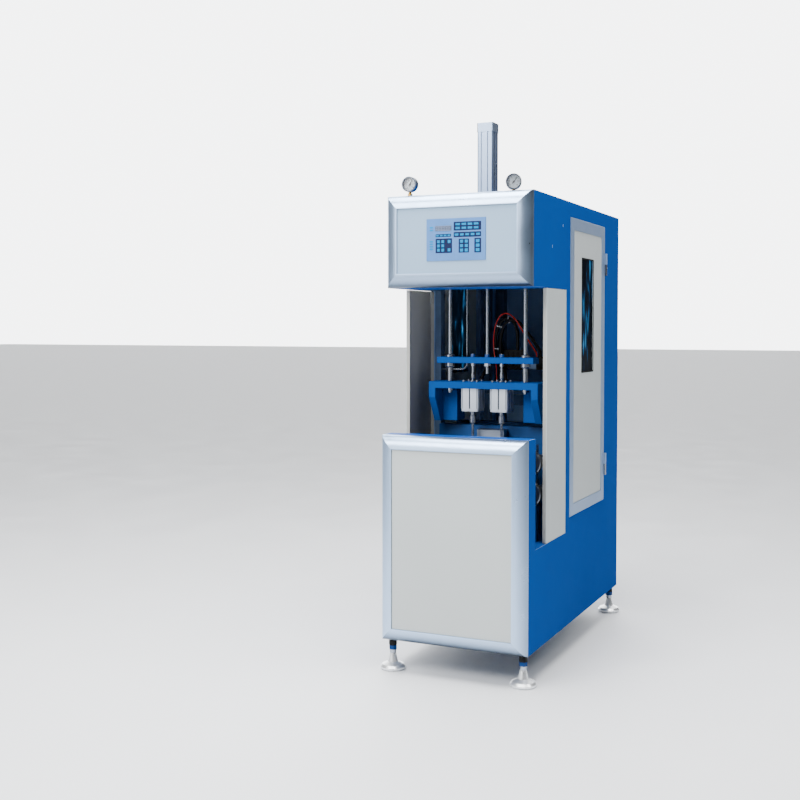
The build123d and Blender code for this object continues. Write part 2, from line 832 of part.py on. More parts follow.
def beam_bushings():
    """Flanged bushings with long sleeves on the two guide rods."""
    z0 = under + beam_z
    top = z0 + beam_thickness + collar_top
    bore = guide_diameter / 2 + running_clearance
    collar = collar_diameter / 2
    shank = shank_diameter / 2
    sleeve = sleeve_diameter / 2
    low = under + bridge_z + bridge_thickness + 1
    flange_top = z0 + beam_thickness
    collar_low = z0 - collar_bottom
    profile = [(bore, low), (sleeve, low), (sleeve, collar_low), (shank, collar_low),
               (collar, collar_low + 5), (collar, z0), (shank, z0), (shank, flange_top),
               (collar, flange_top), (collar, top - 4), (sleeve, top), (bore, top)]
    return mirrored([turned(profile, guide_x, unit_y)])


def stretch_rods():
    """Long thin rods that push the heated blanks down to the mould's base."""
    tip = under + stretch_tip
    radius = stretch_diameter / 2
    profile = [(0, tip), (radius * 0.5, tip + 0.8), (radius, tip + 4), (radius, under + stretch_top),
               (0, under + stretch_top)]
    return mirrored([turned(profile, cavity_x, unit_y)])


def beam_nuts():
    """Nuts that clamp the stretch rods and the piston rod to the beam."""
    z0 = under + beam_z
    z1 = z0 + beam_thickness
    nuts = []
    for x, diameter, upper, lower in ((-cavity_x, stretch_diameter, rod_nut_flats, low_nut_flats),
                                      (0, piston_rod_diameter, centre_nut_flats, centre_low_flats),
                                      (cavity_x, stretch_diameter, rod_nut_flats, low_nut_flats)):
        hole = diameter + 2 * seat_clearance
        nuts.append(hex_z(upper, x, unit_y, z1, z1 + rod_nut_height, hole))
        nuts.append(hex_z(lower, x, unit_y, z0 - rod_nut_height, z0, hole))
    return nuts


def nozzle_bridge():
    """Welded bridge: top plate and two cheeks whose front edges slope back."""
    z0 = under + bridge_z
    z1 = z0 + bridge_thickness
    y1 = bridge_y0 + bridge_depth
    bridge = block(-bridge_half, bridge_half, bridge_y0, y1, z0, z1)
    foot = under + cheek_foot_z
    cheek_points = [(bridge_y0, z0), (bridge_y0, z0 - cheek_drop), (cheek_foot_y, foot),
                    (post_y, foot), (post_y, z0 - cheek_drop / 2), (y1, z0)]
    cheek = side_sheet(cheek_points, bridge_half - cheek_thickness, cheek_thickness)
    bridge = bridge + cheek + mirror(cheek, Plane.YZ)
    bridge = chamfer(bridge.edges().group_by(Axis.Z)[-1], plate_chamfer)
    for x in (-cavity_x, cavity_x):
        bridge -= rod_z(blow_rod + 2, x, unit_y, z0 - 1, z1 + 1)
    for x in (-guide_x, guide_x):
        bridge -= rod_z(guide_diameter + 2 * seat_clearance, x, unit_y, z0 - 1, z1 + 1)
    return bridge


def bridge_brackets():
    """Blocks that join the bridge's cheeks to the frame behind."""
    x1 = bridge_half - cheek_thickness
    z0 = under + cheek_foot_z
    return mirrored([block(x1 - bracket_width, x1, bracket_y0, post_y, z0, under + bracket_top)])


def blow_cylinders():
    """Square short-stroke cylinders under the bridge, with end caps and grooves."""
    z0 = under + blow_low
    z1 = under + bridge_z
    profile = RectangleRounded(blow_side, blow_side, 5)
    for turn in range(4):
        side = Rot(0, 0, 90 * turn) * Pos(0, blow_side / 2)
        profile -= side * Rectangle(blow_groove, 2 * blow_groove_depth)
        for offset in (-blow_corner, blow_corner):
            profile -= side * Pos(offset, 0) * Rectangle(blow_groove - 2, blow_groove_depth)
    body = Pos(0, 0, blow_cap) * extrude(profile, z1 - z0 - blow_cap)
    body += extrude(RectangleRounded(blow_side - 2, blow_side - 2, 6), blow_cap)
    height = z1 - z0
    chamber = height - blow_cap - blow_wall_top
    body -= Pos(0, 0, blow_cap + chamber / 2) * Cylinder(blow_bore / 2, chamber)
    body -= Pos(0, 0, height / 2) * Cylinder(blow_rod / 2 + running_clearance, height)
    return [Pos(x, unit_y, z0) * body for x in (-cavity_x, cavity_x)]


def blow_nozzles():
    """Hollow piston rods with their pistons and nozzle tips."""
    bore = blow_air_hole / 2
    rod = blow_rod / 2
    tip = nozzle_diameter / 2
    piston = blow_bore / 2 - running_clearance
    low = under + nozzle_low
    shoulder = under + nozzle_high
    piston_low = under + blow_low + blow_cap + nozzle_down + 5
    piston_high = piston_low + blow_piston_length
    top = under + bridge_z + bridge_thickness - nozzle_up - 6
    profile = [(bore, low), (tip - 3, low), (tip, low + 4), (tip, shoulder - 2), (tip - 2, shoulder),
               (rod, shoulder), (rod, piston_low), (piston, piston_low), (piston, piston_high),
               (rod, piston_high), (rod, top), (bore, top)]
    return mirrored([turned(profile, cavity_x, unit_y)])


def bridge_fittings():
    """Rod glands and cap screws on the bridge, and the elbow fittings behind the blow cylinders."""
    z1 = under + bridge_z + bridge_thickness
    bore = stretch_diameter / 2 + running_clearance
    base = gland_base / 2
    neck = gland_neck / 2
    top = z1 + gland_height
    gland = [(bore, z1), (base, z1), (base, z1 + 4), (neck - 1.5, z1 + 5), (neck - 1.5, z1 + 8),
             (neck + 1, z1 + 14), (neck + 1, z1 + 26), (neck - 0.5, top), (bore, top)]
    pieces = mirrored([turned(gland, cavity_x, unit_y)])
    for x in (-cavity_x, cavity_x):
        for dx in (-screw_pitch / 2, screw_pitch / 2):
            for dy in (-screw_pitch / 2, screw_pitch / 2):
                pieces.append(rod_z(screw_head, x + dx, unit_y + dy, z1, z1 + screw_head_height))
        pieces.append(elbow(x))
    return pieces


def elbow(x):
    """Push-in elbow on the back of a blow cylinder, opening upwards."""
    back = unit_y + blow_side / 2
    z = elbow_top() - elbow_cup
    stem = rod_y(hose_diameter + 2, x, z, back, hose_y(0) + 2)
    cup = rod_z(hose_diameter + 6, x, hose_y(0), z - 8, elbow_top())
    return stem + cup


def elbow_top():
    """Height where the hoses leave the elbows."""
    return under + blow_low + blow_cap + elbow_lift + elbow_cup


def hose_y(lean):
    """Distance back of the hoses, which clear the bridge, with a lean in hose diameters."""
    return bridge_y0 + bridge_depth + hose_diameter / 2 + hose_gap + lean * hose_diameter


def cord(diameter, points):
    """Round tube along straight runs joined by arcs as large as the runs allow."""
    radii = []
    for before, corner, after in zip(points, points[1:], points[2:]):
        first = Vector(corner) - Vector(before)
        second = Vector(after) - Vector(corner)
        turn = first.get_angle(second)
        radii.append(0.45 * min(first.length, second.length) / tan(radians(turn / 2)))
    print("cord radii", [round(radius) for radius in radii])
    path = FilletPolyline(*points, radius=radii)
    start = Plane(origin=points[0], z_dir=Vector(points[1]) - Vector(points[0]))
    return sweep(start * Circle(diameter / 2), path=path)


def route(corners):
    """Corners given as shares of the cavity spacing, hose diameters back and shares of the arch."""
    return [(x * cavity_x, hose_y(lean), elbow_top() + rise * hose_arch) for x, lean, rise in corners]


def air_hoses():
    """Blow air hoses: over in an arch, one to the valves and one slanting to the manifold."""
    low = elbow_top()
    left = [(-cavity_x, hose_y(0), low), (-cavity_x, hose_y(0), low + hose_start)]
    left += route(((-0.68, 0.7, 0.325), (-0.14, 1.2, 0.46), (0.08, 1.3, 0.627), (0.10, 1.4, 0.812),
                   (0.31, 1.4, 0.953), (0.82, 1.4, 1.034), (1.33, 1.4, 0.987), (1.60, 1.5, 0.852)))
    left.append((left[-1][0], left[-1][1], under + valve_z1))
    right = [(cavity_x, hose_y(0), low), (cavity_x, hose_y(0), low + hose_start)]
    right += route(((0.82, 0.1, 0.325), (0.58, 0.0, 0.476), (0.50, 0.0, 0.644), (0.54, 0.0, 0.805),
                    (0.78, 0.0, 0.94), (1.16, 0.1, 1.01), (1.66, 0.3, 0.985), (2.10, 0.6, 0.90),
                    (2.50, 0.9, 0.79), (2.88, 1.2, 0.69), (3.14, 1.5, 0.60)))
    right.append((right[-1][0], right[-1][1], under + manifold_z1))
    return [cord(hose_diameter, left), cord(hose_diameter, right)]


def signal_wire():
    """Thin wire that follows the outer hose from the bridge and then the slanting one to the manifold."""
    corners = route(((0.34, -1.15, 0.3), (0.26, -0.7, 0.443), (0.02, 0.3, 0.60), (-0.02, 0.5, 0.78),
                     (0.12, 0.6, 0.95), (0.50, 0.5, 1.07), (1.04, 0.0, 1.09), (1.60, -0.6, 1.01),
                     (2.15, -0.3, 0.83), (2.62, 0.1, 0.68), (2.98, 0.5, 0.57)))
    first = (corners[0][0], corners[0][1], under + bridge_z + bridge_thickness)
    last = (corners[-1][0], corners[-1][1], under + manifold_z1)
    return cord(wire_diameter, [first] + corners + [last])


def valve_bank():
    """Valve manifold on the cross tube, with its coil housings, and the junction block beside it."""
    y1 = post_y
    y0 = y1 - valve_depth
    z0 = under + valve_z0
    z1 = under + valve_z1
    pitch = (valve_x1 - valve_x0) / valve_count
    base = block(valve_x0, valve_x1, y0 + valve_depth / 5, y1, z0, z1)
    for index in range(valve_count):
        x0 = valve_x0 + index * pitch + pitch / 15
        base += block(x0, x0 + pitch * 13 / 15, y0, y0 + valve_depth / 4, z0 + 5, z1 - 8)
    junction = block(manifold_x0, manifold_x1, y0 - 4, y1, z0, under + manifold_z1)
    return [base, chamfer(junction.edges().group_by(Axis.Z)[-1], plate_chamfer)]


def air_pipe():
    """Rigid pipe from the head down to the left post."""
    y = post_y + frame_tube / 2
    top = roof_top - sheet - frame_tube
    low = under + pipe_low
    path = FilletPolyline((pipe_x, y, top), (pipe_x, y, low), (-frame_inside, y, low), radius=pipe_bend)
    start = Plane(origin=(pipe_x, y, top), z_dir=(0, 0, -1))
    return sweep(start * Circle(pipe_diameter / 2), path=path)


def rear_fittings():
    """Threaded air inlet and cable gland through the rear sheet."""
    z = under + rear_fitting_z
    pieces = []
    for x, bore, neck in ((inlet_x, inlet_bore, 0), (gland_x, cable_bore, 6)):
        inner = body_depth - sheet
        body = rod_y(bore + 7.6, x, z, inner - 14, body_depth + rear_reach)
        nut = extrude(RegularPolygon(inlet_flats / 2, 6, major_radius=False), rear_reach - 6 - neck)
        body += Pos(x, body_depth + rear_reach - 6 - neck, z) * Rot(90, 0, 0) * nut
        back_nut = extrude(RegularPolygon(inlet_flats / 2, 6, major_radius=False), 6)
        body += Pos(x, inner, z) * Rot(90, 0, 0) * back_nut
        body -= rod_y(bore, x, z, inner - 20, body_depth + rear_reach + 5)
        pieces.append(body)
    return pieces


def platen(y0, thickness, hole, top=platen_top):
    """Steel platen with four holes for the tie bars."""
    plate = block(-platen_half, platen_half, y0, y0 + thickness, under + sill_height, under + top)
    plate = chamfer(plate.edges().group_by(Axis.Z)[-1], plate_chamfer)
    for x in (-tie_bar_x, tie_bar_x):
        for z in tie_bar_heights:
            plate -= rod_y(hole, x, under + z, y0 - 1, y0 + thickness + 1)
    return plate


def front_platen():
    """Fixed platen behind the lower front box, just higher than the mould."""
    return platen(clamp_y0, platen_thickness, tie_bar_diameter + 2 * seat_clearance,
                  mould_top + front_platen_rise)


def moving_platen():
    """Platen that carries the rear mould half, lifted clear of the deck."""
    y0 = moving_platen_y
    reach = platen_half + 1
    deck = under + sill_height
    plate = platen(y0, platen_thickness, tie_bar_diameter + 2 * bush_wall + 2 * seat_clearance)
    return plate - block(-reach, reach, y0 - 1, y0 + platen_thickness + 1, deck - 1, deck + platen_lift)


def rear_platen():
    """Fixed platen that carries the clamp cylinder."""
    plate = platen(rear_platen_y, rear_platen_thickness, tie_bar_diameter + 2 * seat_clearance)
    return plate - rod_y(clamp_rod_diameter + 2, 0, under + clamp_axis_z, rear_platen_y - 1,
                         rear_platen_y + rear_platen_thickness + 1)


def platen_bushes():
    """Bronze bushes in the moving platen."""
    outer = tie_bar_diameter + 2 * bush_wall
    y0 = moving_platen_y
    y1 = y0 + platen_thickness + bush_projection
    bushes = []
    for x in (-tie_bar_x, tie_bar_x):
        for height in tie_bar_heights:
            z = under + height
            bush = rod_y(outer, x, z, y0, y1) + rod_y(outer + 8, x, z, y1 - bush_projection, y1)
            bushes.append(bush - rod_y(tie_bar_diameter + 2 * running_clearance, x, z, y0 - 1, y1 + 1))
    return bushes


def tie_bars():
    """Four ground bars from the front platen to the rear platen."""
    y0 = clamp_y0 - tie_nut_thickness
    y1 = rear_platen_y + rear_platen_thickness + rear_nut_thickness
    return [rod_y(tie_bar_diameter, x, under + z, y0, y1)
            for x in (-tie_bar_x, tie_bar_x) for z in tie_bar_heights]


def ring_nut(outer, x, z, y0, y1):
    """Round nut with four spanner slots."""
    nut = rod_y(outer, x, z, y0, y1)
    nut = chamfer(nut.edges().filter_by(GeomType.CIRCLE), nut_chamfer)
    nut -= rod_y((outer + tie_bar_diameter) / 2, x, z, y0 - 1, y0 + nut_recess)
    nut -= rod_y(tie_bar_diameter + 2 * seat_clearance, x, z, y0 - 1, y1 + 1)
    for turn in range(4):
        slot = Pos(outer / 2, 0, 0) * Box(spanner_slot - 1, y1 - y0, spanner_slot)
        nut -= Pos(x, (y0 + y1) / 2, z) * Rot(0, 45 + 90 * turn, 0) * slot
    return nut


def tie_bar_nuts():
    """Large ring nuts in front and smaller ones behind the rear platen."""
    rear = rear_platen_y + rear_platen_thickness
    nuts = []
    for x in (-tie_bar_x, tie_bar_x):
        for height in tie_bar_heights:
            z = under + height
            nuts.append(ring_nut(tie_nut_diameter, x, z, clamp_y0 - tie_nut_thickness, clamp_y0))
            nuts.append(ring_nut(rear_nut_diameter, x, z, rear, rear + rear_nut_thickness))
    return nuts


def bottle_form():
    """The bottle's outside: neck, domed shoulder, straight wall with two waists and a rounded base."""
    radius = bottle_diameter / 2
    neck = neck_diameter / 2
    top = under + mould_top
    neck_low = top - neck_length
    shoulder_low = neck_low - bottle_shoulder
    base = under + cavity_base
    waist = radius - 3
    upper_waist = shoulder_low - 30
    lower_waist = base + 70
    flat = radius - base_fillet
    bow = base_fillet * sin(radians(45))
    edge = (
        Polyline((0, base), (flat, base))
        + ThreePointArc((flat, base), (flat + bow, base + base_fillet - bow), (radius, base + base_fillet))
        + Polyline((radius, base + base_fillet), (radius, lower_waist - 6), (waist, lower_waist),
                   (waist, lower_waist + 8), (radius, lower_waist + 14), (radius, upper_waist - 14),
                   (waist, upper_waist - 8), (waist, upper_waist), (radius, upper_waist + 6),
                   (radius, shoulder_low))
        + ThreePointArc((radius, shoulder_low), (radius * 0.80, shoulder_low + bottle_shoulder * 0.52),
                        (neck, neck_low))
        + Polyline((neck, neck_low), (neck, top + 1), (0, top + 1), (0, base))
    )
    return revolve(Plane.XZ * make_face(edge), Axis.Z)


def mould_halves():
    """Front and rear mould blocks, parted on the bottles' middle plane."""
    z1 = under + mould_top
    z0 = z1 - mould_height
    front = unit_y - mould_half_depth
    back = unit_y + mould_half_depth
    blank = block(-mould_half_width, mould_half_width, front, back, z0, z1)
    blank = chamfer(blank.edges().filter_by(Axis.Z) + blank.edges().group_by(Axis.Z)[-1], mould_chamfer)
    form = bottle_form()
    for x in (-cavity_x, cavity_x):
        blank -= Pos(x, unit_y, 0) * form
    reach = mould_half_width + 1
    for y in (front + cooling_inset, back - cooling_inset):
        for row in (-1, 0, 1):
            blank -= rod_x(cooling_bore, y, (z0 + z1) / 2 + row * cooling_pitch, -reach, reach)
    front_cut = block(-reach, reach, unit_y - mould_parting_gap / 2, back + 1, z0 - 1, z1 + 1)
    rear_cut = block(-reach, reach, front - 1, unit_y + mould_parting_gap / 2, z0 - 1, z1 + 1)
    land = block(-land_half_width, land_half_width, back - land_depth, back, z1 - 1, z1 + land_height)
    land = chamfer(land.edges().group_by(Axis.Z)[-1], land_edge)
    return blank - front_cut, blank - rear_cut + land


def clamp_cylinder():
    """Clamp cylinder behind the rear platen: square caps and round tube in one bored housing."""
    z = under + clamp_axis_z
    y0 = rear_platen_y + rear_platen_thickness
    chamber = clamp_stroke + clamp_piston_length + 2 * clamp_end_room
    y1 = y0 + clamp_cap + chamber
    half = clamp_cap_side / 2
    housing = block(-half, half, y0, y0 + clamp_cap, z - half, z + half)
    housing += block(-half, half, y1, y1 + clamp_cap, z - half, z + half)
    housing += rod_y(clamp_bore + 2 * clamp_tube_wall, 0, z, y0 + clamp_cap, y1)
    for x in (-1, 1):
        for dz in (-1, 1):
            corner = half - clamp_rod_inset
            housing += rod_y(clamp_stay, x * corner, z + dz * corner, y0 + clamp_cap, y1)
    housing -= rod_y(clamp_bore, 0, z, y0 + clamp_cap, y1)
    return housing - rod_y(clamp_rod_diameter + 2 * running_clearance, 0, z, y0 - 1, y0 + clamp_cap)


def clamp_piston():
    """Piston, rod and the flange bolted to the moving platen."""
    z = under + clamp_axis_z
    start = moving_platen_y + platen_thickness
    chamber_low = rear_platen_y + rear_platen_thickness + clamp_cap
    piston_low = chamber_low + clamp_end_room
    piston_high = piston_low + clamp_piston_length
    rod = rod_y(clamp_rod_diameter, 0, z, start, piston_high)
    rod += rod_y(clamp_flange_diameter, 0, z, start, start + clamp_flange)
    return rod + rod_y(clamp_bore - 2 * running_clearance, 0, z, piston_low, piston_high)


def gauge(side, lift, turn, needle_turn):
    """Pressure gauge that faces the operator: case, dial with pivot, glass, needle and stem."""
    radius = gauge_diameter / 2
    half = gauge_depth / 2
    inner = radius - gauge_rim
    floor = gauge_floor
    case = Rot(90, 0, 0) * Cylinder(radius, gauge_depth)
    case -= rod_y(2 * inner, 0, 0, -half - 1, floor)
    case += rod_y(2 * radius, 0, 0, -half, -half + 2) - rod_y(2 * (inner - 1.5), 0, 0, -half - 1, -half + 3)
    dial = rod_y(2 * (inner - seat_clearance), 0, 0, floor - dial_thickness, floor)
    dial += rod_y(1.6, 0, 0, floor - dial_thickness - 6, floor - dial_thickness)
    glass = rod_y(2 * (inner - seat_clearance), 0, 0, -half + 2, -half + 2 + glass_thickness)
    hub_y = floor - dial_thickness - 3.5
    blade = make_face(Polyline((-1.6, -8), (1.6, -8), (0.5, inner - 6), (-0.5, inner - 6), close=True))
    needle = Pos(0, hub_y + needle_blade / 2, 0) * extrude(Plane.XZ * blade, needle_blade)
    needle += rod_y(needle_hub, 0, 0, hub_y - 1.2, hub_y + 1.2)
    needle -= rod_y(1.6 + 2 * running_clearance, 0, 0, hub_y - 3, hub_y + 3)
    needle = Rot(0, needle_turn, 0) * needle
    place = Pos(side * gauge_x, gauge_y, roof_top + lift) * Rot(0, 0, turn)
    base = roof_top + lift - radius
    x = side * gauge_x
    inside = roof_top - sheet
    stem = rod_z(gauge_stem_diameter, x, gauge_y, roof_top - gauge_stem_depth, base + gauge_rim)
    if base - roof_top > gauge_nut_height:
        stem += hex_z(gauge_nut_flats, x, gauge_y, roof_top, roof_top + gauge_nut_height)
    stem += hex_z(gauge_nut_flats, x, gauge_y, inside - lock_nut_height, inside)
    case = place * case
    stem -= place * Rot(90, 0, 0) * Cylinder(radius, gauge_depth)
    return case, place * dial, place * glass, place * needle, stem


def all_nodes():
    """Every node's name with its solid or list of solids."""
    right_panel = side_panel_right()
    right_guard = guard_right()
    right_frame = door_frame_right()
    right_door = door_panel_right()
    right_window = door_window_right()
    pads, studs, nuts = feet()
    barrel, caps = stretch_cylinder()
    front_mould, rear_mould = mould_halves()
    gauges = [gauge(side, lift, turn, needle) for side, lift, turn, needle
              in zip((-1, 1), gauge_lifts, gauge_turns, needle_turns)]
    cases, dials, glasses, needles, stems = [list(group) for group in zip(*gauges)]
    return {
        "side_panel_left": mirror(right_panel, Plane.YZ),
        "side_panel_right": right_panel,
        "rear_panel": rear_panel(),
        "roof_panel": roof_panel(),
        "front_box_liner": front_box_liner(),
        "head_floor": head_floor(),
        "base_frame": base_frame(),
        "upper_frame": upper_frame(),
        "lower_front_panel": front_panel(0, 0, front_box_height),
        "head_front_panel": head_front_panel(),
        "edge_trims": edge_trims(),
        "control_keys": control_keys(),
        "controller": controller(),
        "foot_pads": pads,
        "foot_studs": studs,
        "foot_nuts": nuts,
        "guard_left": mirror(right_guard, Plane.YZ),
        "guard_right": right_guard,
        "guard_pivots": guard_pivots(),
        "door_frame_left": [mirror(piece, Plane.YZ) for piece in right_frame],
        "door_frame_right": right_frame,
        "door_panel_left": mirror(right_door, Plane.YZ),
        "door_panel_right": right_door,
        "door_window_left": mirror(right_window, Plane.YZ),
        "door_window_right": right_window,
        "cabinet_hinges": cabinet_hinges(),
        "gauge_cases": cases,
        "gauge_dials": dials,
        "gauge_glasses": glasses,
        "gauge_needle_left": needles[0],
        "gauge_needle_right": needles[1],
        "gauge_stems": stems,
        "crossplate": crossplate(),
        "stretch_cylinder_tube": barrel,
        "stretch_cylinder_caps": caps,
        "stretch_piston": stretch_piston(),
        "guide_rods": guide_rods() + guide_nuts(),
        "stretch_beam": stretch_beam(),
        "beam_bushings": beam_bushings(),
        "beam_nuts": beam_nuts(),
        "stretch_rods": stretch_rods(),
        "nozzle_bridge": nozzle_bridge(),
        "bridge_brackets": bridge_brackets(),
        "blow_cylinders": blow_cylinders(),
        "blow_nozzles": blow_nozzles(),
        "bridge_fittings": bridge_fittings(),
        "air_hoses": air_hoses(),
        "signal_wire": signal_wire(),
        "valve_block": valve_bank(),
        "air_pipe": air_pipe(),
        "rear_fittings": rear_fittings(),
        "front_platen": front_platen(),
        "moving_platen": moving_platen(),
        "platen_bushes": platen_bushes(),
        "rear_platen": rear_platen(),
        "tie_bars": tie_bars() + tie_bar_nuts(),
        "mould_front": front_mould,
        "mould_rear": rear_mould,
        "clamp_cylinder": clamp_cylinder(),
        "clamp_piston": clamp_piston(),
    }


os.makedirs("parts", exist_ok=True)
centring = Pos(0, -middle_y, 0)
for name, content in all_nodes().items():
    solids = content if isinstance(content, list) else [content]
    placed = [solid for piece in solids for solid in (centring * piece).solids()]
    shape = placed[0] if len(placed) == 1 else Compound(children=placed)
    export_step(shape, f"parts/{name}.step")
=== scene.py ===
"""Looks of the two-cavity stretch blow moulder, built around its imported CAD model.

Metres, in the model's own frame: +Z is up, the operator stands at -Y, the floor is z = 0.
Colours are screen values of 0 to 255, and become linear where a material is made.
"""
import json
from math import cos, pi, radians, sin
import bmesh
import bpy
from mathutils import Matrix, Vector


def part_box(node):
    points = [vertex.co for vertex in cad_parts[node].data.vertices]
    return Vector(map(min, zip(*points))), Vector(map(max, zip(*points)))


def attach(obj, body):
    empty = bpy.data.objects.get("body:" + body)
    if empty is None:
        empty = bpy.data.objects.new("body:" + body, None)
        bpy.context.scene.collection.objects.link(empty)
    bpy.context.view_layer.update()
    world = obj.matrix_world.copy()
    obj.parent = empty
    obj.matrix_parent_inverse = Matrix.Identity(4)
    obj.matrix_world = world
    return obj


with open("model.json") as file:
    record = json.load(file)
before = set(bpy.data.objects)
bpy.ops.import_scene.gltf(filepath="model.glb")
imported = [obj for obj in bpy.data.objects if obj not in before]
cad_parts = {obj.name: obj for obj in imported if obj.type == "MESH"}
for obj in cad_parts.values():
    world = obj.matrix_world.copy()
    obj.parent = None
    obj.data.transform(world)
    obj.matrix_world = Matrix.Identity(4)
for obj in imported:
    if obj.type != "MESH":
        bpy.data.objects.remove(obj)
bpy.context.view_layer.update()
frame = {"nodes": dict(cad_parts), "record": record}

# Places shared with the CAD
CAVITY_X = 0.0585
blow_low, blow_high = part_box("blow_cylinders")
BLOW_MIDDLE = (blow_low[1] + blow_high[1]) / 2
BLOW_HALF = (blow_high[1] - blow_low[1]) / 2
BEAM_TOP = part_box("stretch_beam")[1][2]

# Where a material changes from one tone to another, each as the two ends of the change
# ends of the painted shade in the blow cylinders' slots
SLOT_DEPTH = (BLOW_HALF - 0.0026, BLOW_HALF - 0.0012)
SLOT_WIDTH = (BLOW_HALF - 0.0045, BLOW_HALF - 0.0035)
BLUE_NUTS_ABOVE = (BEAM_TOP - 0.0004, BEAM_TOP + 0.0002)
BLUE_NUTS_WITHIN = (0.118, 0.120)
FOOT_BAND_HEIGHTS = (0.070, 0.110)

# Camera, as fitted to the machine's edges in the photograph
CAMERA_PLACE = (1.534, -4.3815, 1.264)
CAMERA_YAW = 25.07
CAMERA_PITCH = -1.86
IMAGE_SIZE = 800
FOCAL_PIXELS = 1143.57
CENTRE_PIXEL = (395.33, 364.0)
SENSOR = 36.0
NEAR_CLIP = 0.05

# Studio surroundings: plain white to the camera, but their light comes from the left and behind
SKY_COLOUR = (0.97, 0.985, 1.0, 1.0)
SKY_STRENGTH = 0.34
SKY_DIM = 0.03
BACKDROP = 17.0
SKY_SEEN = 6.0
LEFT_EDGE = (-0.2, 0.08)
BACKDROP_EDGE = (0.35, 0.7)

# Lamps: name, place, point that they face, size and watts
LAMPS = (
    ("key", (-2.0, -4.2, 1.5), (0, -0.6, 1.1), (1.8, 1.8), 30),
    ("front", (-0.9, -3.7, 3.4), (0, -0.6, 1.1), (3.0, 1.9), 235),
    ("side", (3.2, -0.4, 4.4), (0.28, -0.1, 0.8), (1.6, 1.6), 85),
    ("top", (0.0, -1.0, 4.4), (0, -0.7, 0.8), (3.2, 2.4), 420),
)

# Floor
FLOOR_REACH = 60.0
FLOOR_PALE = (226, 228, 231)
FLOOR_GLOSS = 3.0

# Paint
CABINET_BLUE = (0, 68, 144)
BEAM_BLUE = (0, 74, 148)
# painted shade: a darker copy of the blue paint for the platens inside the machine
PLATEN_BLUE_PAINTED_SHADE = (20, 66, 122)
FRAME_NAVY = (84, 106, 136)
# painted light: a paler tone on the inner faces of the cabinet's side, back and roof sheets, for
# light that the interior does not get
INNER_PAINTED_LIGHT = (128, 158, 196)
# painted shade: a darker grey tone on the guards' inner faces
GUARD_PAINTED_SHADE = (162, 162, 158)
PANEL_BEIGE = (180, 186, 186)
PANEL_GREY = (140, 168, 194)

# Metals
TRIM_SILVER = (178, 203, 234)
RAIL_SILVER = (134, 158, 192)
TUBE_SILVER = (136, 154, 180)
CYLINDER_SILVER = (196, 204, 214)
SLOT_SHADOW = (34, 40, 50)
MOULD_GREY = (150, 158, 170)
GROUND_STEEL = (168, 175, 186)
BRIGHT_STEEL = (158, 164, 174)
NUT_SILVER = (172, 178, 188)
# painted shade: darker steel for the tie bars in the shaded gap at the side
TIE_STEEL_PAINTED_SHADE = (92, 98, 108)
BRONZE = (178, 128, 74)
BRASS = (190, 150, 84)
CASE_GREY = (84, 92, 104)
FOOT_SILVER = (244, 246, 248)

# Plastics, print and glass
WINDOW_NAVY = (10, 30, 52)
PANE_DARK = (4, 10, 20)
# painted light: brighter blue streaks in the door windows
PANE_PAINTED_STREAK = (26, 84, 128)
PANE_PAINTED_LIGHT = (60, 140, 190)
OVERLAY_BLUE = (76, 122, 180)
KEY_BLUE = (0, 124, 178)
FIELD_NAVY = (22, 30, 62)
FIGURE_GREY = (104, 118, 144)
FIGURE_DARK = (44, 46, 58)
DIAL_WHITE = (234, 242, 252)
DIAL_INK = (14, 16, 22)
NEEDLE_BLACK = (12, 12, 14)
PLASTIC_BLACK = (7, 8, 10)
HOSE_BLACK = (5, 5, 7)
GASKET_BLACK = (10, 11, 13)
WIRE_RED = (170, 24, 20)
TIE_WHITE = (226, 228, 230)
FOOT_BLACK = (4, 5, 8)
FOOT_BLUE = (0, 52, 112)
CLEAR = (255, 255, 255)

# Grain of the surfaces: scales of the noise, alike in all directions or one for each axis
SHEET_TONE = 2.2
SHEET_GLOSS = 9.0
ORANGE_PEEL = 700.0
METAL_GLOSS = 14.0
MOULDED_TONE = 30.0
MOULDED_GLOSS = 60.0
MOULDED_GRAIN = 900.0
FILM_TONE = 25.0
FILM_GRAIN = 2600.0
GLASS_WAVES = 40.0
ROUND = (900.0, 900.0, 900.0)
ALONG_Z = (900.0, 900.0, 12.0)
MILLED = (60.0, 900.0, 60.0)
# shape of the painted light streaks in the door windows
PANE_STREAKS = (40.0, 40.0, 9.0)
PANE_PATCHES = (7.0, 7.0, 4.0)

# Depths of the grain
PEEL_DEPTH = 0.00005
FINE_PEEL_DEPTH = 0.00004
CAST_DEPTH = 0.00002
FILM_DEPTH = 0.00001
LINE_DEPTH = 0.000004
TUBE_LINE_DEPTH = 0.000001


def linear(colour):
    """Linear RGBA from a screen colour of 0 to 255."""
    shares = [value / 255 for value in colour]
    return tuple(share / 12.92 if share <= 0.04045 else ((share + 0.055) / 1.055) ** 2.4
                 for share in shares) + (1.0,)


def shade(colour, factor):
    """Linear RGBA of a screen colour, made lighter or darker by a factor."""
    return tuple(min(1.0, value * factor) for value in linear(colour)[:3]) + (1.0,)


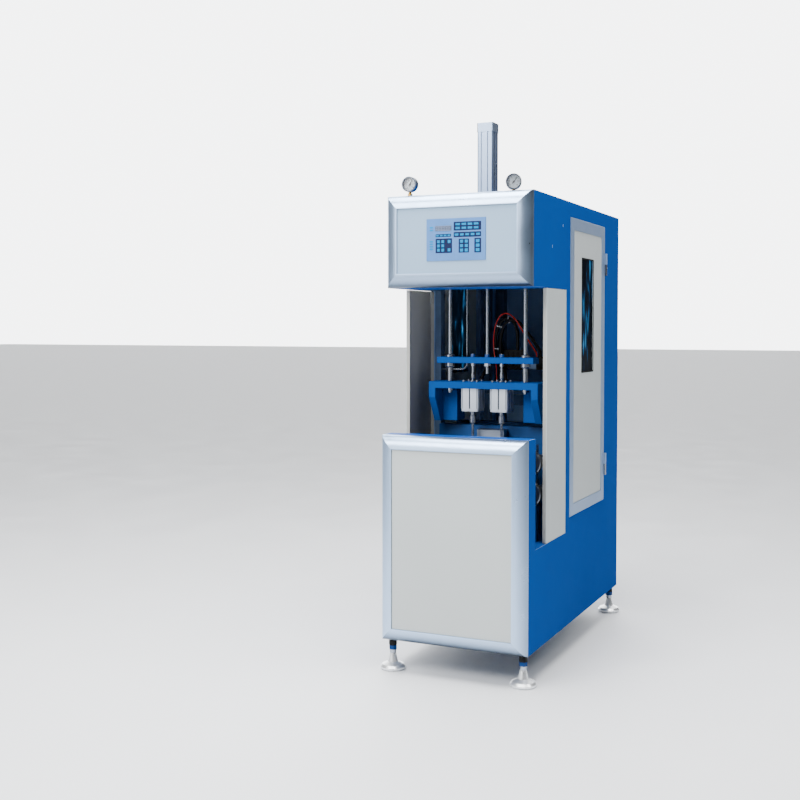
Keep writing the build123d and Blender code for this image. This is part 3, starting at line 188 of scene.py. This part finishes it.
class Surface:
    """A procedural material under construction: its node tree and its shader."""

    def __init__(self, name, colour, roughness, metallic=0.0):
        self.material = bpy.data.materials.new(name)
        self.material.use_nodes = True
        self.tree = self.material.node_tree
        self.shader = self.tree.nodes["Principled BSDF"]
        self.colour = colour
        self.set("Base Color", linear(colour))
        self.set("Roughness", roughness)
        self.set("Metallic", metallic)
        places = self.add("ShaderNodeTexCoord")
        self.coordinates = places.outputs["Object"]
        self.normal = places.outputs["Normal"]

    def add(self, kind):
        """New node in this material's tree."""
        return self.tree.nodes.new(kind)

    def join(self, output, socket):
        """Link from an output to an input."""
        self.tree.links.new(output, socket)

    def set(self, socket, value):
        """Constant on the shader's own socket."""
        self.shader.inputs[socket].default_value = value

    def noise(self, scale, detail, stretch=(1.0, 1.0, 1.0)):
        """Noise value from 0 to 1, its coordinates multiplied by a stretch for each axis."""
        mapping = self.add("ShaderNodeMapping")
        mapping.inputs["Scale"].default_value = stretch
        self.join(self.coordinates, mapping.inputs["Vector"])
        noise = self.add("ShaderNodeTexNoise")
        noise.inputs["Scale"].default_value = scale
        noise.inputs["Detail"].default_value = detail
        self.join(mapping.outputs["Vector"], noise.inputs["Vector"])
        return noise.outputs["Fac"]

    def parts(self, vector):
        """X, Y and Z outputs of a vector."""
        split = self.add("ShaderNodeSeparateXYZ")
        self.join(vector, split.inputs["Vector"])
        return split.outputs

    def calculate(self, operation, first, second=0.0):
        """Result of one arithmetic step on one or two values."""
        step = self.add("ShaderNodeMath")
        step.operation = operation
        for place, value in enumerate((first, second)):
            if isinstance(value, (int, float)):
                step.inputs[place].default_value = value
            else:
                self.join(value, step.inputs[place])
        return step.outputs["Value"]

    def ramp(self, value, stops):
        """Colour ramp of (place, linear colour) stops driven by a value."""
        ramp = self.add("ShaderNodeValToRGB")
        elements = ramp.color_ramp.elements
        elements[0].position, elements[0].color = stops[0]
        elements[1].position, elements[1].color = stops[-1]
        for place, colour in stops[1:-1]:
            element = elements.new(place)
            element.color = colour
        self.join(value, ramp.inputs["Fac"])
        return ramp.outputs["Color"]

    def span(self, value, low, high, from_low=0.3, from_high=0.7):
        """Value mapped from one span, by default a noise's usual one, to another."""
        mapped = self.add("ShaderNodeMapRange")
        mapped.inputs["From Min"].default_value = from_low
        mapped.inputs["From Max"].default_value = from_high
        mapped.inputs["To Min"].default_value = low
        mapped.inputs["To Max"].default_value = high
        self.join(value, mapped.inputs["Value"])
        return mapped.outputs["Result"]

    def paint(self, output):
        """Base colour taken from an output."""
        self.join(output, self.shader.inputs["Base Color"])

    def tint(self, value, darker, lighter):
        """Base colour that drifts between two factors of its tone with a noise value."""
        self.paint(self.ramp(value, [(0.3, shade(self.colour, darker)),
                                     (0.7, shade(self.colour, lighter))]))

    def gloss(self, value, low, high):
        """Roughness that drifts between two amounts with a noise value."""
        self.join(self.span(value, low, high), self.shader.inputs["Roughness"])

    def relief(self, value, depth, strength):
        """Bump of a real depth in metres."""
        bump = self.add("ShaderNodeBump")
        bump.inputs["Distance"].default_value = depth
        bump.inputs["Strength"].default_value = strength
        self.join(value, bump.inputs["Height"])
        self.join(bump.outputs["Normal"], self.shader.inputs["Normal"])


def coated_sheet(name, colour, roughness, drift=0.04, peel=PEEL_DEPTH, specular=0.2):
    """Powder-coated sheet: fine orange peel, slow drift of tone, slightly uneven gloss."""
    surface = Surface(name, colour, roughness)
    surface.tint(surface.noise(SHEET_TONE, detail=2.0), 1 - drift, 1 + drift)
    surface.gloss(surface.noise(SHEET_GLOSS, detail=4.0), roughness - 0.05, roughness + 0.06)
    surface.relief(surface.noise(ORANGE_PEEL, detail=1.0), peel, strength=0.4)
    surface.set("Specular IOR Level", specular)
    return surface.material


def lined_sheet(name, outside, inside, roughness, axis, specular=0.2):
    """Sheet painted another tone on its inner faces, standing in for light: paler as painted light
    on the cabinet's sheets, darker as painted shade on the guards. Inner faces are the side
    sheets' faces towards the middle of the machine, or along another axis the faces that turn the
    negative way."""
    surface = Surface(name, outside, roughness)
    turned = surface.parts(surface.normal)[axis]
    if axis == "X":
        outwards = surface.calculate("MULTIPLY", turned, surface.parts(surface.coordinates)["X"])
        facing = surface.span(outwards, 0.0, 1.0, 0.0, 0.02)
    else:
        facing = surface.span(turned, 0.0, 1.0, -0.1, 0.1)
    # painted light and shade: inner faces take the inner tone, the rest the outer paint
    painted_light_mix = surface.add("ShaderNodeMix")
    painted_light_mix.data_type = "RGBA"
    surface.join(facing, painted_light_mix.inputs["Factor"])
    painted_light_mix.inputs["A"].default_value = linear(inside)
    painted_light_mix.inputs["B"].default_value = linear(outside)
    drift = surface.add("ShaderNodeVectorMath")
    drift.operation = "SCALE"
    surface.join(painted_light_mix.outputs["Result"], drift.inputs[0])
    slow = surface.noise(SHEET_TONE, detail=2.0)
    surface.join(surface.span(slow, 0.96, 1.04), drift.inputs["Scale"])
    surface.paint(drift.outputs["Vector"])
    surface.gloss(surface.noise(SHEET_GLOSS, detail=4.0), roughness - 0.05, roughness + 0.06)
    surface.relief(surface.noise(ORANGE_PEEL, detail=1.0), PEEL_DEPTH, strength=0.4)
    surface.set("Specular IOR Level", specular)
    return surface.material


def drawn_metal(name, colour, roughness, stretch, depth=CAST_DEPTH, metallic=1.0):
    """Metal with fine lines or grain from drawing or turning, raised where a depth is given."""
    surface = Surface(name, colour, roughness, metallic)
    lines = surface.noise(1.0, detail=3.0, stretch=stretch)
    surface.tint(lines, 0.95, 1.03)
    surface.gloss(surface.noise(METAL_GLOSS, detail=3.0), roughness - 0.04, roughness + 0.06)
    if depth:
        surface.relief(lines, depth, strength=0.3)
    return surface.material


def anodised_edge():
    """Anodised edge extrusion with painted shade: darker where it turns down or to the right."""
    surface = Surface("edge_profile", TRIM_SILVER, 0.3, 0.95)
    turned = surface.parts(surface.normal)
    # painted shade: faces turned down or to the right get a darker tone
    down = surface.span(turned["Z"], 0.0, 1.0, -0.75, 0.0)
    aside = surface.span(turned["X"], 1.0, 0.45, 0.2, 0.9)
    tone = surface.calculate("MULTIPLY", down, aside)
    grain = surface.calculate("MULTIPLY", surface.noise(1.0, detail=3.0, stretch=ROUND), 0.06)
    surface.paint(surface.ramp(surface.calculate("ADD", tone, grain),
                               [(0.0, shade(TRIM_SILVER, 0.2)), (1.0, linear(TRIM_SILVER))]))
    surface.gloss(surface.noise(METAL_GLOSS, detail=3.0), 0.27, 0.35)
    return surface.material


def moulded(name, colour, roughness, specular=0.4):
    """Moulded plastic or rubber with a fine matt grain."""
    surface = Surface(name, colour, roughness)
    surface.set("Specular IOR Level", specular)
    surface.tint(surface.noise(MOULDED_TONE, detail=3.0), 0.88, 1.1)
    surface.gloss(surface.noise(MOULDED_GLOSS, detail=3.0), roughness - 0.06, roughness + 0.06)
    surface.relief(surface.noise(MOULDED_GRAIN, detail=2.0), CAST_DEPTH, strength=0.5)
    return surface.material


def printed(name, colour, roughness, specular=0.4):
    """Printed film under a fine textured front."""
    surface = Surface(name, colour, roughness)
    surface.tint(surface.noise(FILM_TONE, detail=2.0), 0.94, 1.05)
    surface.relief(surface.noise(FILM_GRAIN, detail=1.0), FILM_DEPTH, strength=0.4)
    surface.set("Specular IOR Level", specular)
    return surface.material


def window_pane(name, through, lift):
    """Smoked acrylic pane with painted light: tall cloudy streaks of brighter blue, lifted by a
    factor.
    """
    surface = Surface(name, WINDOW_NAVY, 0.16)
    streaks = surface.noise(1.0, detail=4.0, stretch=PANE_STREAKS)
    patches = surface.noise(1.0, detail=2.0, stretch=PANE_PATCHES)
    blend = surface.calculate("ADD", surface.calculate("MULTIPLY", streaks, 0.62),
                              surface.calculate("MULTIPLY", patches, 0.38))
    # painted light: the brighter streak stops, raised by the lift
    surface.paint(surface.ramp(blend, [(0.46, linear(PANE_DARK)), (0.53, linear(WINDOW_NAVY)),
                                       (0.57, shade(PANE_PAINTED_STREAK, lift)),
                                       (0.66, shade(PANE_PAINTED_LIGHT, lift))]))
    surface.gloss(patches, 0.12, 0.22)
    surface.set("Specular IOR Level", 0.03)
    surface.set("Transmission Weight", through)
    surface.set("IOR", 1.12)
    return surface.material


def clear_glass():
    """Gauge glass, thin and clear."""
    surface = Surface("clear_glass", CLEAR, 0.02)
    surface.set("Transmission Weight", 1.0)
    surface.set("IOR", 1.45)
    surface.relief(surface.noise(GLASS_WAVES, detail=2.0), LINE_DEPTH, strength=0.3)
    return surface.material


def banded_nut():
    """Foot nuts and bosses: a blue band with black below and above it, told apart by height."""
    surface = Surface("foot_dark", FOOT_BLACK, 0.35)
    height = surface.span(surface.parts(surface.coordinates)["Z"], 0.0, 1.0, *FOOT_BAND_HEIGHTS)
    surface.paint(surface.ramp(height, [(0.06, linear(FOOT_BLACK)), (0.10, linear(FOOT_BLUE)),
                                        (0.42, linear(FOOT_BLUE)), (0.46, linear(FOOT_BLACK))]))
    surface.gloss(surface.noise(MOULDED_GLOSS, detail=3.0), 0.28, 0.42)
    surface.set("Specular IOR Level", 0.12)
    return surface.material


def grooved_profile():
    """Square cylinder extrusion, with painted shade down in the slots of its front and back."""
    surface = Surface("blow_profile", CYLINDER_SILVER, 0.34, 0.7)
    places = surface.parts(surface.coordinates)
    depth = surface.calculate("ABSOLUTE", surface.calculate("SUBTRACT", places["Y"], BLOW_MIDDLE))
    aside = surface.calculate("ABSOLUTE", places["X"])
    across = surface.calculate("ABSOLUTE", surface.calculate("SUBTRACT", aside, CAVITY_X))
    inset = surface.span(depth, 1.0, 0.0, *SLOT_DEPTH)
    middle = surface.span(across, 1.0, 0.0, *SLOT_WIDTH)
    facing = surface.calculate("ABSOLUTE", surface.parts(surface.normal)["Y"])
    # painted shade: the front and back faces darken down in the slots
    slot = surface.calculate("MULTIPLY", surface.calculate("MULTIPLY", inset, middle), facing)
    surface.paint(surface.ramp(slot, [(0.1, linear(CYLINDER_SILVER)), (0.9, linear(SLOT_SHADOW))]))
    lines = surface.noise(1.0, detail=3.0, stretch=ALONG_Z)
    surface.gloss(lines, 0.3, 0.42)
    surface.relief(lines, LINE_DEPTH, strength=0.3)
    return surface.material


def stacked_nuts():
    """Turned nuts: the inner ones blue above the beam's top, and all bright below it."""
    surface = Surface("beam_steel", NUT_SILVER, 0.3, 0.85)
    places = surface.parts(surface.coordinates)
    above = surface.span(places["Z"], 0.0, 1.0, *BLUE_NUTS_ABOVE)
    inner = surface.span(surface.calculate("ABSOLUTE", places["X"]), 1.0, 0.0, *BLUE_NUTS_WITHIN)
    blue = surface.calculate("MULTIPLY", above, inner)
    surface.paint(surface.ramp(blue, [(0.4, linear(NUT_SILVER)), (0.6, linear(BEAM_BLUE))]))
    surface.join(surface.span(blue, 0.85, 0.0, 0.0, 1.0), surface.shader.inputs["Metallic"])
    surface.gloss(surface.noise(MOULDED_GLOSS, detail=3.0), 0.26, 0.38)
    return surface.material


palette = {
    "cabinet_blue": coated_sheet("cabinet_blue", CABINET_BLUE, 0.55, specular=0.08),
    "beam_blue": coated_sheet("beam_blue", BEAM_BLUE, 0.6, 0.05, FINE_PEEL_DEPTH, 0.04),
    "platen_painted_shade": coated_sheet("platen_painted_shade", PLATEN_BLUE_PAINTED_SHADE, 0.45, 0.08),
    # painted light: the cabinet sheets' inner faces paler than their outside
    "side_sheet_painted_light": lined_sheet("side_sheet_painted_light", CABINET_BLUE, INNER_PAINTED_LIGHT, 0.8, "X", 0.01),
    "back_sheet_painted_light": lined_sheet("back_sheet_painted_light", CABINET_BLUE, INNER_PAINTED_LIGHT, 0.8, "Y", 0.01),
    "roof_sheet_painted_light": lined_sheet("roof_sheet_painted_light", CABINET_BLUE, INNER_PAINTED_LIGHT, 0.8, "Z", 0.01),
    # painted shade: the guards' inner faces darker than their outside
    "guard_sheet_painted_shade": lined_sheet("guard_sheet_painted_shade", PANEL_BEIGE, GUARD_PAINTED_SHADE, 0.5, "X"),
    "frame_paint": coated_sheet("frame_paint", FRAME_NAVY, 0.5),
    "panel_beige": coated_sheet("panel_beige", PANEL_BEIGE, 0.5, 0.02, FINE_PEEL_DEPTH),
    "panel_grey": coated_sheet("panel_grey", PANEL_GREY, 0.45, 0.02, FINE_PEEL_DEPTH),
    "edge_profile": anodised_edge(),
    "rail_profile": drawn_metal("rail_profile", RAIL_SILVER, 0.36, ROUND, 0, 0.55),
    "cylinder_profile": drawn_metal("cylinder_profile", TUBE_SILVER, 0.3, ALONG_Z,
                                    TUBE_LINE_DEPTH, 0.9),
    "blow_profile": grooved_profile(),
    "mould_metal": drawn_metal("mould_metal", MOULD_GREY, 0.3, MILLED, LINE_DEPTH),
    "ground_steel": drawn_metal("ground_steel", GROUND_STEEL, 0.22, ROUND, 0, 0.95),
    "bright_steel": drawn_metal("bright_steel", BRIGHT_STEEL, 0.22, ROUND, 0, 0.95),
    "beam_steel": stacked_nuts(),
    "tie_steel_painted_shade": drawn_metal("tie_steel_painted_shade", TIE_STEEL_PAINTED_SHADE, 0.3, ROUND, 0, 0.9),
    "bronze": drawn_metal("bronze", BRONZE, 0.3, ROUND),
    "gauge_brass": drawn_metal("gauge_brass", BRASS, 0.26, ROUND),
    "gauge_case": drawn_metal("gauge_case", CASE_GREY, 0.36, ROUND, 0, 0.85),
    "dial_white": printed("dial_white", DIAL_WHITE, 0.4),
    "needle_black": moulded("needle_black", NEEDLE_BLACK, 0.4),
    "clear_glass": clear_glass(),
    "smoked_pane": window_pane("smoked_pane", 0.15, 1.0),
    # painted light doubled on the left window, which is seen from inside
    "pane_painted_lighter": window_pane("pane_painted_lighter", 0.5, 2.0),
    "controller_front": printed("controller_front", OVERLAY_BLUE, 0.5, 0.2),
    "key_blue": printed("key_blue", KEY_BLUE, 0.5, 0.01),
    "black_plastic": moulded("black_plastic", PLASTIC_BLACK, 0.5, 0.1),
    "hose_black": moulded("hose_black", HOSE_BLACK, 0.45, 0.1),
    "wire_red": moulded("wire_red", WIRE_RED, 0.4),
    "foot_metal": drawn_metal("foot_metal", FOOT_SILVER, 0.3, ROUND, 0, 0.8),
    "foot_dark": banded_nut(),
    "field_navy": printed("field_navy", FIELD_NAVY, 0.5, 0.1),
    "figure_grey": printed("figure_grey", FIGURE_GREY, 0.5, 0.1),
    "figure_dark": printed("figure_dark", FIGURE_DARK, 0.5, 0.1),
    "dial_ink": printed("dial_ink", DIAL_INK, 0.5),
    "gasket_black": moulded("gasket_black", GASKET_BLACK, 0.6, 0.1),
    "tie_white": moulded("tie_white", TIE_WHITE, 0.4),
}

# Nodes that look unlike the rest of their slot; every other node wears its slot's material
special = {
    "door_frame_left": "rail_profile",
    "door_frame_right": "rail_profile",
    # painted light on the inner faces of the side, rear and roof sheets
    "side_panel_left": "side_sheet_painted_light",
    "side_panel_right": "side_sheet_painted_light",
    "rear_panel": "back_sheet_painted_light",
    "roof_panel": "roof_sheet_painted_light",
    # painted shade on the inner faces of the guards
    "guard_left": "guard_sheet_painted_shade",
    "guard_right": "guard_sheet_painted_shade",
    "door_window_left": "pane_painted_lighter",
    "blow_cylinders": "blow_profile",
    "beam_nuts": "beam_steel",
    # painted shade: the tie bars wear darker steel than the other steel parts
    "tie_bars": "tie_steel_painted_shade",
    # painted shade: the platens wear a darker copy of the blue paint
    "front_platen": "platen_painted_shade",
    "moving_platen": "platen_painted_shade",
    "rear_platen": "platen_painted_shade",
}
slots = {part["node"]: part["material_slot"] for part in frame["record"]["subparts"]}
for name, node in frame["nodes"].items():
    node.data.materials.clear()
    node.data.materials.append(palette[special.get(name, slots[name])])


# Controller print, as left, right, top and bottom in shares of the front's width and height
NAVY_FIELDS = (
    (0.466, 0.927, 0.087, 0.293),
    (0.466, 0.927, 0.330, 0.452),
    (0.157, 0.420, 0.365, 0.434),
    (0.157, 0.439, 0.472, 0.817),
    (0.551, 0.725, 0.491, 0.819),
    (0.814, 0.927, 0.482, 0.825),
)
FIGURE_WINDOW = (0.149, 0.428, 0.168, 0.295)
FIGURE_MARGIN = 0.024
FIELD_CORNER = 0.0022
WINDOW_CORNER = 0.0012
PRINT_RISE = 0.0003
INK_RISE = 0.0001

# Figures: their number, the part of its place that each takes, and their segments' ends as
# left, right, bottom and top in shares of a figure
FIGURES = 5
FIGURE_START = 0.2
FIGURE_END = 0.8
SEGMENTS = ((0, 1, 1.0, 1.0), (0, 1, 0.5, 0.5), (0, 1, 0.0, 0.0),
            (0, 0, 0.5, 1.0), (1, 1, 0.5, 1.0), (0, 0, 0.0, 0.5), (1, 1, 0.0, 0.5))
SEGMENT_HALF = 0.0007
SEGMENT_CORNER = 0.0006

# Gauges: side of the name, middle, and turn to the right in degrees
GAUGES = (("left", (-0.200, -0.5475, 1.785), 0.0), ("right", (0.200, -0.5475, 1.774), 18.0))
DIAL_PLANE = 0.00195
DIAL_START = 225
DIAL_SWEEP = 270
TICKS = 50
TICKS_A_NUMBER = 5
TICK_OUTER = 0.0232
LONG_TICK = (0.0042, 0.00035)
SHORT_TICK = (0.0022, 0.0002)
TICK_RISE = 0.0002
NUMBERED_STEPS = 5
NUMBER_STEP = 2
NUMBER_SIZE = 0.0062
NUMBER_INSET = 0.0082

# Cable ties on the hose that goes to the valves: middle, and direction of the hose
CABLE_TIES = (
    ((0.0047, -0.1919, 1.1794), (0.08, 0.0, 1.0)),
    ((0.0138, -0.1911, 1.2670), (0.28, 0.0, 0.96)),
    ((0.0569, -0.1907, 1.2968), (1.0, 0.0, 0.1)),
)
HOSE_RADIUS = 0.006
STRAP_SIDES = 28
STRAP_SECTION = ((HOSE_RADIUS + 0.0001, -0.0018), (HOSE_RADIUS + 0.0011, -0.0016),
                 (HOSE_RADIUS + 0.0011, 0.0016), (HOSE_RADIUS + 0.0001, 0.0018))
TIE_HEAD = (-0.0022, 0.0022, -0.0025, 0.0025, 0.0007)
TIE_HEAD_BACK = HOSE_RADIUS + 0.0006
TIE_HEAD_DEPTH = 0.0032
TIE_TAIL = (-0.0005, 0.0005, -0.0016, 0.0016, 0.0003)
TIE_TAIL_START = 0.003
TIE_TAIL_END = 0.012
TIE_TAIL_SHIFT = 0.004

# How far each door window reaches behind the edge of its opening
WINDOW_LAP = 0.012

# Window gaskets: reach and corner outside and inside the opening's edge, and how far the outer
# edge, the lip and the back of the lip stand out from the door panel
GASKET_OUTER = (0.004, 0.006)
GASKET_INNER = (-0.0015, 0.003)
GASKET_EDGE = 0.0014
GASKET_LIP = 0.0018
GASKET_BACK = -0.0002


def finish_piece(name, mesh, material, body="cabinet"):
    """Object from a bmesh, with its material and body."""
    bmesh.ops.recalc_face_normals(mesh, faces=mesh.faces)
    for face in mesh.faces:
        face.smooth = False
    data = bpy.data.meshes.new(name)
    mesh.to_mesh(data)
    mesh.free()
    data.materials.append(palette[material])
    piece = bpy.data.objects.new(name, data)
    bpy.context.scene.collection.objects.link(piece)
    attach(piece, body)


def grown(area, margin):
    """Left, right, bottom and top of an area moved outwards by a margin."""
    return area[0] - margin, area[1] + margin, area[2] - margin, area[3] + margin


def rounded(x0, x1, z0, z1, corner, steps=4):
    """Outline of a rectangle with rounded corners."""
    outline = []
    for x, z, start in ((x1 - corner, z1 - corner, 0), (x0 + corner, z1 - corner, 90),
                        (x0 + corner, z0 + corner, 180), (x1 - corner, z0 + corner, 270)):
        for step in range(steps + 1):
            turn = radians(start + 90 * step / steps)
            outline.append((x + corner * cos(turn), z + corner * sin(turn)))
    return outline


def add_plate(mesh, outline, back, front, shift=0.0):
    """Upright plate from an outline in X and Z, its front moved to the right by a shift."""
    low = [mesh.verts.new((x, back, z)) for x, z in outline]
    high = [mesh.verts.new((x + shift, front, z)) for x, z in outline]
    mesh.faces.new(high)
    mesh.faces.new(low[::-1])
    for index in range(len(outline)):
        after = (index + 1) % len(outline)
        mesh.faces.new((low[index], low[after], high[after], high[index]))


def add_loop(mesh, rings):
    """Closed loop of faces between rings of vertices, the last ring joined to the first."""
    count = len(rings[0])
    for ring, following in zip(rings, rings[1:] + rings[:1]):
        for index in range(count):
            after = (index + 1) % count
            mesh.faces.new((ring[index], ring[after], following[after], following[index]))


def controller_print():
    """Printed fields and the window of unlit figures on the controller's front."""
    low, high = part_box("controller")
    face = low[1]
    width = high[0] - low[0]
    height = high[2] - low[2]

    def area(left, right, top, bottom):
        return (low[0] + left * width, low[0] + right * width,
                high[2] - bottom * height, high[2] - top * height)

    fields = bmesh.new()
    for shares in NAVY_FIELDS:
        outline = rounded(*area(*shares), FIELD_CORNER)
        add_plate(fields, outline, face + PRINT_RISE, face - PRINT_RISE)
    finish_piece("print_fields", fields, "field_navy")

    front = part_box("control_keys")[0][1] - PRINT_RISE
    window = bmesh.new()
    add_plate(window, rounded(*area(*FIGURE_WINDOW), WINDOW_CORNER), face + PRINT_RISE, front)
    finish_piece("figure_window", window, "figure_grey")

    left, right, top, bottom = FIGURE_WINDOW
    pitch = (right - left) / FIGURES
    figures = bmesh.new()
    for index in range(FIGURES):
        x0, x1, z0, z1 = area(left + pitch * (index + FIGURE_START),
                              left + pitch * (index + FIGURE_END),
                              top + FIGURE_MARGIN, bottom - FIGURE_MARGIN)
        for start, end, foot, head in SEGMENTS:
            line = (x0 + start * (x1 - x0), x0 + end * (x1 - x0),
                    z0 + foot * (z1 - z0), z0 + head * (z1 - z0))
            bar = rounded(*grown(line, SEGMENT_HALF), SEGMENT_CORNER, steps=2)
            add_plate(figures, bar, front + INK_RISE, front - INK_RISE)
    finish_piece("figure_segments", figures, "figure_dark")


def add_number(mesh, number, x, z):
    """Number on the dial, centred at a place."""
    words = bpy.data.curves.new("number", "FONT")
    words.body = str(number)
    words.size = NUMBER_SIZE
    words.extrude = INK_RISE
    words.align_x = "CENTER"
    words.align_y = "CENTER"
    text = bpy.data.objects.new("number", words)
    letters = bpy.data.meshes.new_from_object(text)
    letters.transform(Matrix.Translation((x, DIAL_PLANE, z)) @ Matrix.Rotation(pi / 2, 4, "X"))
    mesh.from_mesh(letters)
    bpy.data.objects.remove(text)
    bpy.data.curves.remove(words)
    bpy.data.meshes.remove(letters)


def dial_marks():
    """Ticks and numbers on both gauge dials."""
    for side, place, turn in GAUGES:
        mesh = bmesh.new()
        for tick in range(TICKS + 1):
            angle = radians(DIAL_START - DIAL_SWEEP * tick / TICKS)
            length, half = SHORT_TICK if tick % TICKS_A_NUMBER else LONG_TICK
            along = Vector((cos(angle), sin(angle)))
            across = Vector((-sin(angle), cos(angle))) * half
            outer, inner = along * TICK_OUTER, along * (TICK_OUTER - length)
            outline = [outer + across, inner + across, inner - across, outer - across]
            add_plate(mesh, outline, DIAL_PLANE + TICK_RISE, DIAL_PLANE)
        radius = TICK_OUTER - NUMBER_INSET
        for step in range(NUMBERED_STEPS + 1):
            angle = radians(DIAL_START - DIAL_SWEEP * step / NUMBERED_STEPS)
            add_number(mesh, NUMBER_STEP * step, radius * cos(angle), radius * sin(angle))
        mesh.transform(Matrix.Translation(place) @ Matrix.Rotation(radians(turn), 4, "Z"))
        finish_piece("dial_marks_" + side, mesh, "dial_ink")


def window_gaskets():
    """Rubber gasket round the opening in front of each door window, proud of the door panel."""
    for side, sign in (("left", -1), ("right", 1)):
        low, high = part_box("door_window_" + side)
        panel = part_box("door_panel_" + side)
        face = panel[1 if sign > 0 else 0][0]
        opening = grown((low[1], high[1], low[2], high[2]), -WINDOW_LAP)
        outer, inner = [rounded(*grown(opening, margin), corner)
                        for margin, corner in (GASKET_OUTER, GASKET_INNER)]
        mesh = bmesh.new()
        add_loop(mesh, [[mesh.verts.new((face + sign * out, y, z)) for y, z in outline]
                        for outline, out in ((outer, 0.0), (outer, GASKET_EDGE),
                                             (inner, GASKET_LIP), (inner, GASKET_BACK))])
        finish_piece("window_gasket_" + side, mesh, "gasket_black", "door_" + side)


def cable_ties():
    """Narrow straps round the hose, each with its head and a cut tail."""
    mesh = bmesh.new()
    for middle, direction in CABLE_TIES:
        strap = bmesh.new()
        turns = [2 * pi * side / STRAP_SIDES for side in range(STRAP_SIDES)]
        add_loop(strap, [[strap.verts.new((radius * cos(turn), radius * sin(turn), z))
                          for radius, z in STRAP_SECTION] for turn in turns])
        add_plate(strap, rounded(*TIE_HEAD), -TIE_HEAD_BACK, -TIE_HEAD_BACK - TIE_HEAD_DEPTH)
        add_plate(strap, rounded(*TIE_TAIL), -TIE_HEAD_BACK - TIE_TAIL_START,
                  -TIE_HEAD_BACK - TIE_TAIL_END, TIE_TAIL_SHIFT)
        turned = Vector(direction).normalized().to_track_quat("Z", "Y").to_matrix().to_4x4()
        strap.transform(Matrix.Translation(middle) @ turned)
        part = bpy.data.meshes.new("strap")
        strap.to_mesh(part)
        strap.free()
        mesh.from_mesh(part)
        bpy.data.meshes.remove(part)
    finish_piece("cable_ties", mesh, "tie_white")


def place_camera():
    """Camera at the photograph's viewing angle and distance."""
    data = bpy.data.cameras.new("camera")
    data.sensor_width = SENSOR
    data.lens = FOCAL_PIXELS * SENSOR / IMAGE_SIZE
    data.shift_x = (IMAGE_SIZE / 2 - CENTRE_PIXEL[0]) / IMAGE_SIZE
    data.shift_y = (CENTRE_PIXEL[1] - IMAGE_SIZE / 2) / IMAGE_SIZE
    data.clip_start = NEAR_CLIP
    camera = bpy.data.objects.new("camera", data)
    camera.location = CAMERA_PLACE
    camera.rotation_euler = (radians(90 + CAMERA_PITCH), 0.0, radians(CAMERA_YAW))
    bpy.context.scene.collection.objects.link(camera)
    bpy.context.scene.camera = camera


def soft_light(name, place, aim, size, watts):
    """Large rectangular lamp that faces a point."""
    data = bpy.data.lights.new(name, "AREA")
    data.shape = "RECTANGLE"
    data.size, data.size_y = size
    data.energy = watts
    lamp = bpy.data.objects.new(name, data)
    lamp.location = place
    lamp.rotation_euler = (Vector(aim) - Vector(place)).to_track_quat("-Z", "Y").to_euler()
    bpy.context.scene.collection.objects.link(lamp)


def sky_share(tree, direction, aim, edge, dim, bright):
    """Brightness that rises smoothly across an edge as the direction turns towards an aim."""
    dot = tree.nodes.new("ShaderNodeVectorMath")
    dot.operation = "DOT_PRODUCT"
    dot.inputs[1].default_value = aim
    tree.links.new(direction, dot.inputs[0])
    mapped = tree.nodes.new("ShaderNodeMapRange")
    mapped.interpolation_type = "SMOOTHSTEP"
    for socket, value in zip(("From Min", "From Max", "To Min", "To Max"), (*edge, dim, bright)):
        mapped.inputs[socket].default_value = value
    tree.links.new(dot.outputs["Value"], mapped.inputs["Value"])
    return mapped.outputs["Result"]


def studio_sky():
    """White surroundings that light the machine from the left and behind, not from its right."""
    world = bpy.data.worlds.new("studio")
    world.use_nodes = True
    tree = world.node_tree
    direction = tree.nodes.new("ShaderNodeTexCoord").outputs["Generated"]
    left = sky_share(tree, direction, (-1, 0, 0), LEFT_EDGE, SKY_DIM * SKY_STRENGTH, SKY_STRENGTH)
    behind = sky_share(tree, direction, (0, 1, 0), BACKDROP_EDGE, 1.0, BACKDROP)
    product = tree.nodes.new("ShaderNodeMath")
    product.operation = "MULTIPLY"
    tree.links.new(left, product.inputs[0])
    tree.links.new(behind, product.inputs[1])
    plain = tree.nodes.new("ShaderNodeMix")
    seen = tree.nodes.new("ShaderNodeLightPath").outputs["Is Camera Ray"]
    tree.links.new(seen, plain.inputs["Factor"])
    tree.links.new(product.outputs["Value"], plain.inputs["A"])
    plain.inputs["B"].default_value = SKY_SEEN
    background = tree.nodes["Background"]
    background.inputs["Color"].default_value = SKY_COLOUR
    tree.links.new(plain.outputs["Result"], background.inputs["Strength"])
    bpy.context.scene.world = world


def floor():
    """Plain pale floor."""
    data = bpy.data.meshes.new("studio_floor")
    corners = [(x * FLOOR_REACH, y * FLOOR_REACH, 0)
               for x, y in ((-1, -1), (1, -1), (1, 1), (-1, 1))]
    data.from_pydata(corners, [], [(0, 1, 2, 3)])
    plane = bpy.data.objects.new("studio_floor", data)
    bpy.context.scene.collection.objects.link(plane)
    surface = Surface("studio_floor", FLOOR_PALE, 0.6)
    surface.gloss(surface.noise(FLOOR_GLOSS, detail=3.0), 0.55, 0.65)
    data.materials.append(surface.material)


place_camera()
studio_sky()
for lamp in LAMPS:
    soft_light(*lamp)
floor()
controller_print()
dial_marks()
window_gaskets()
cable_ties()
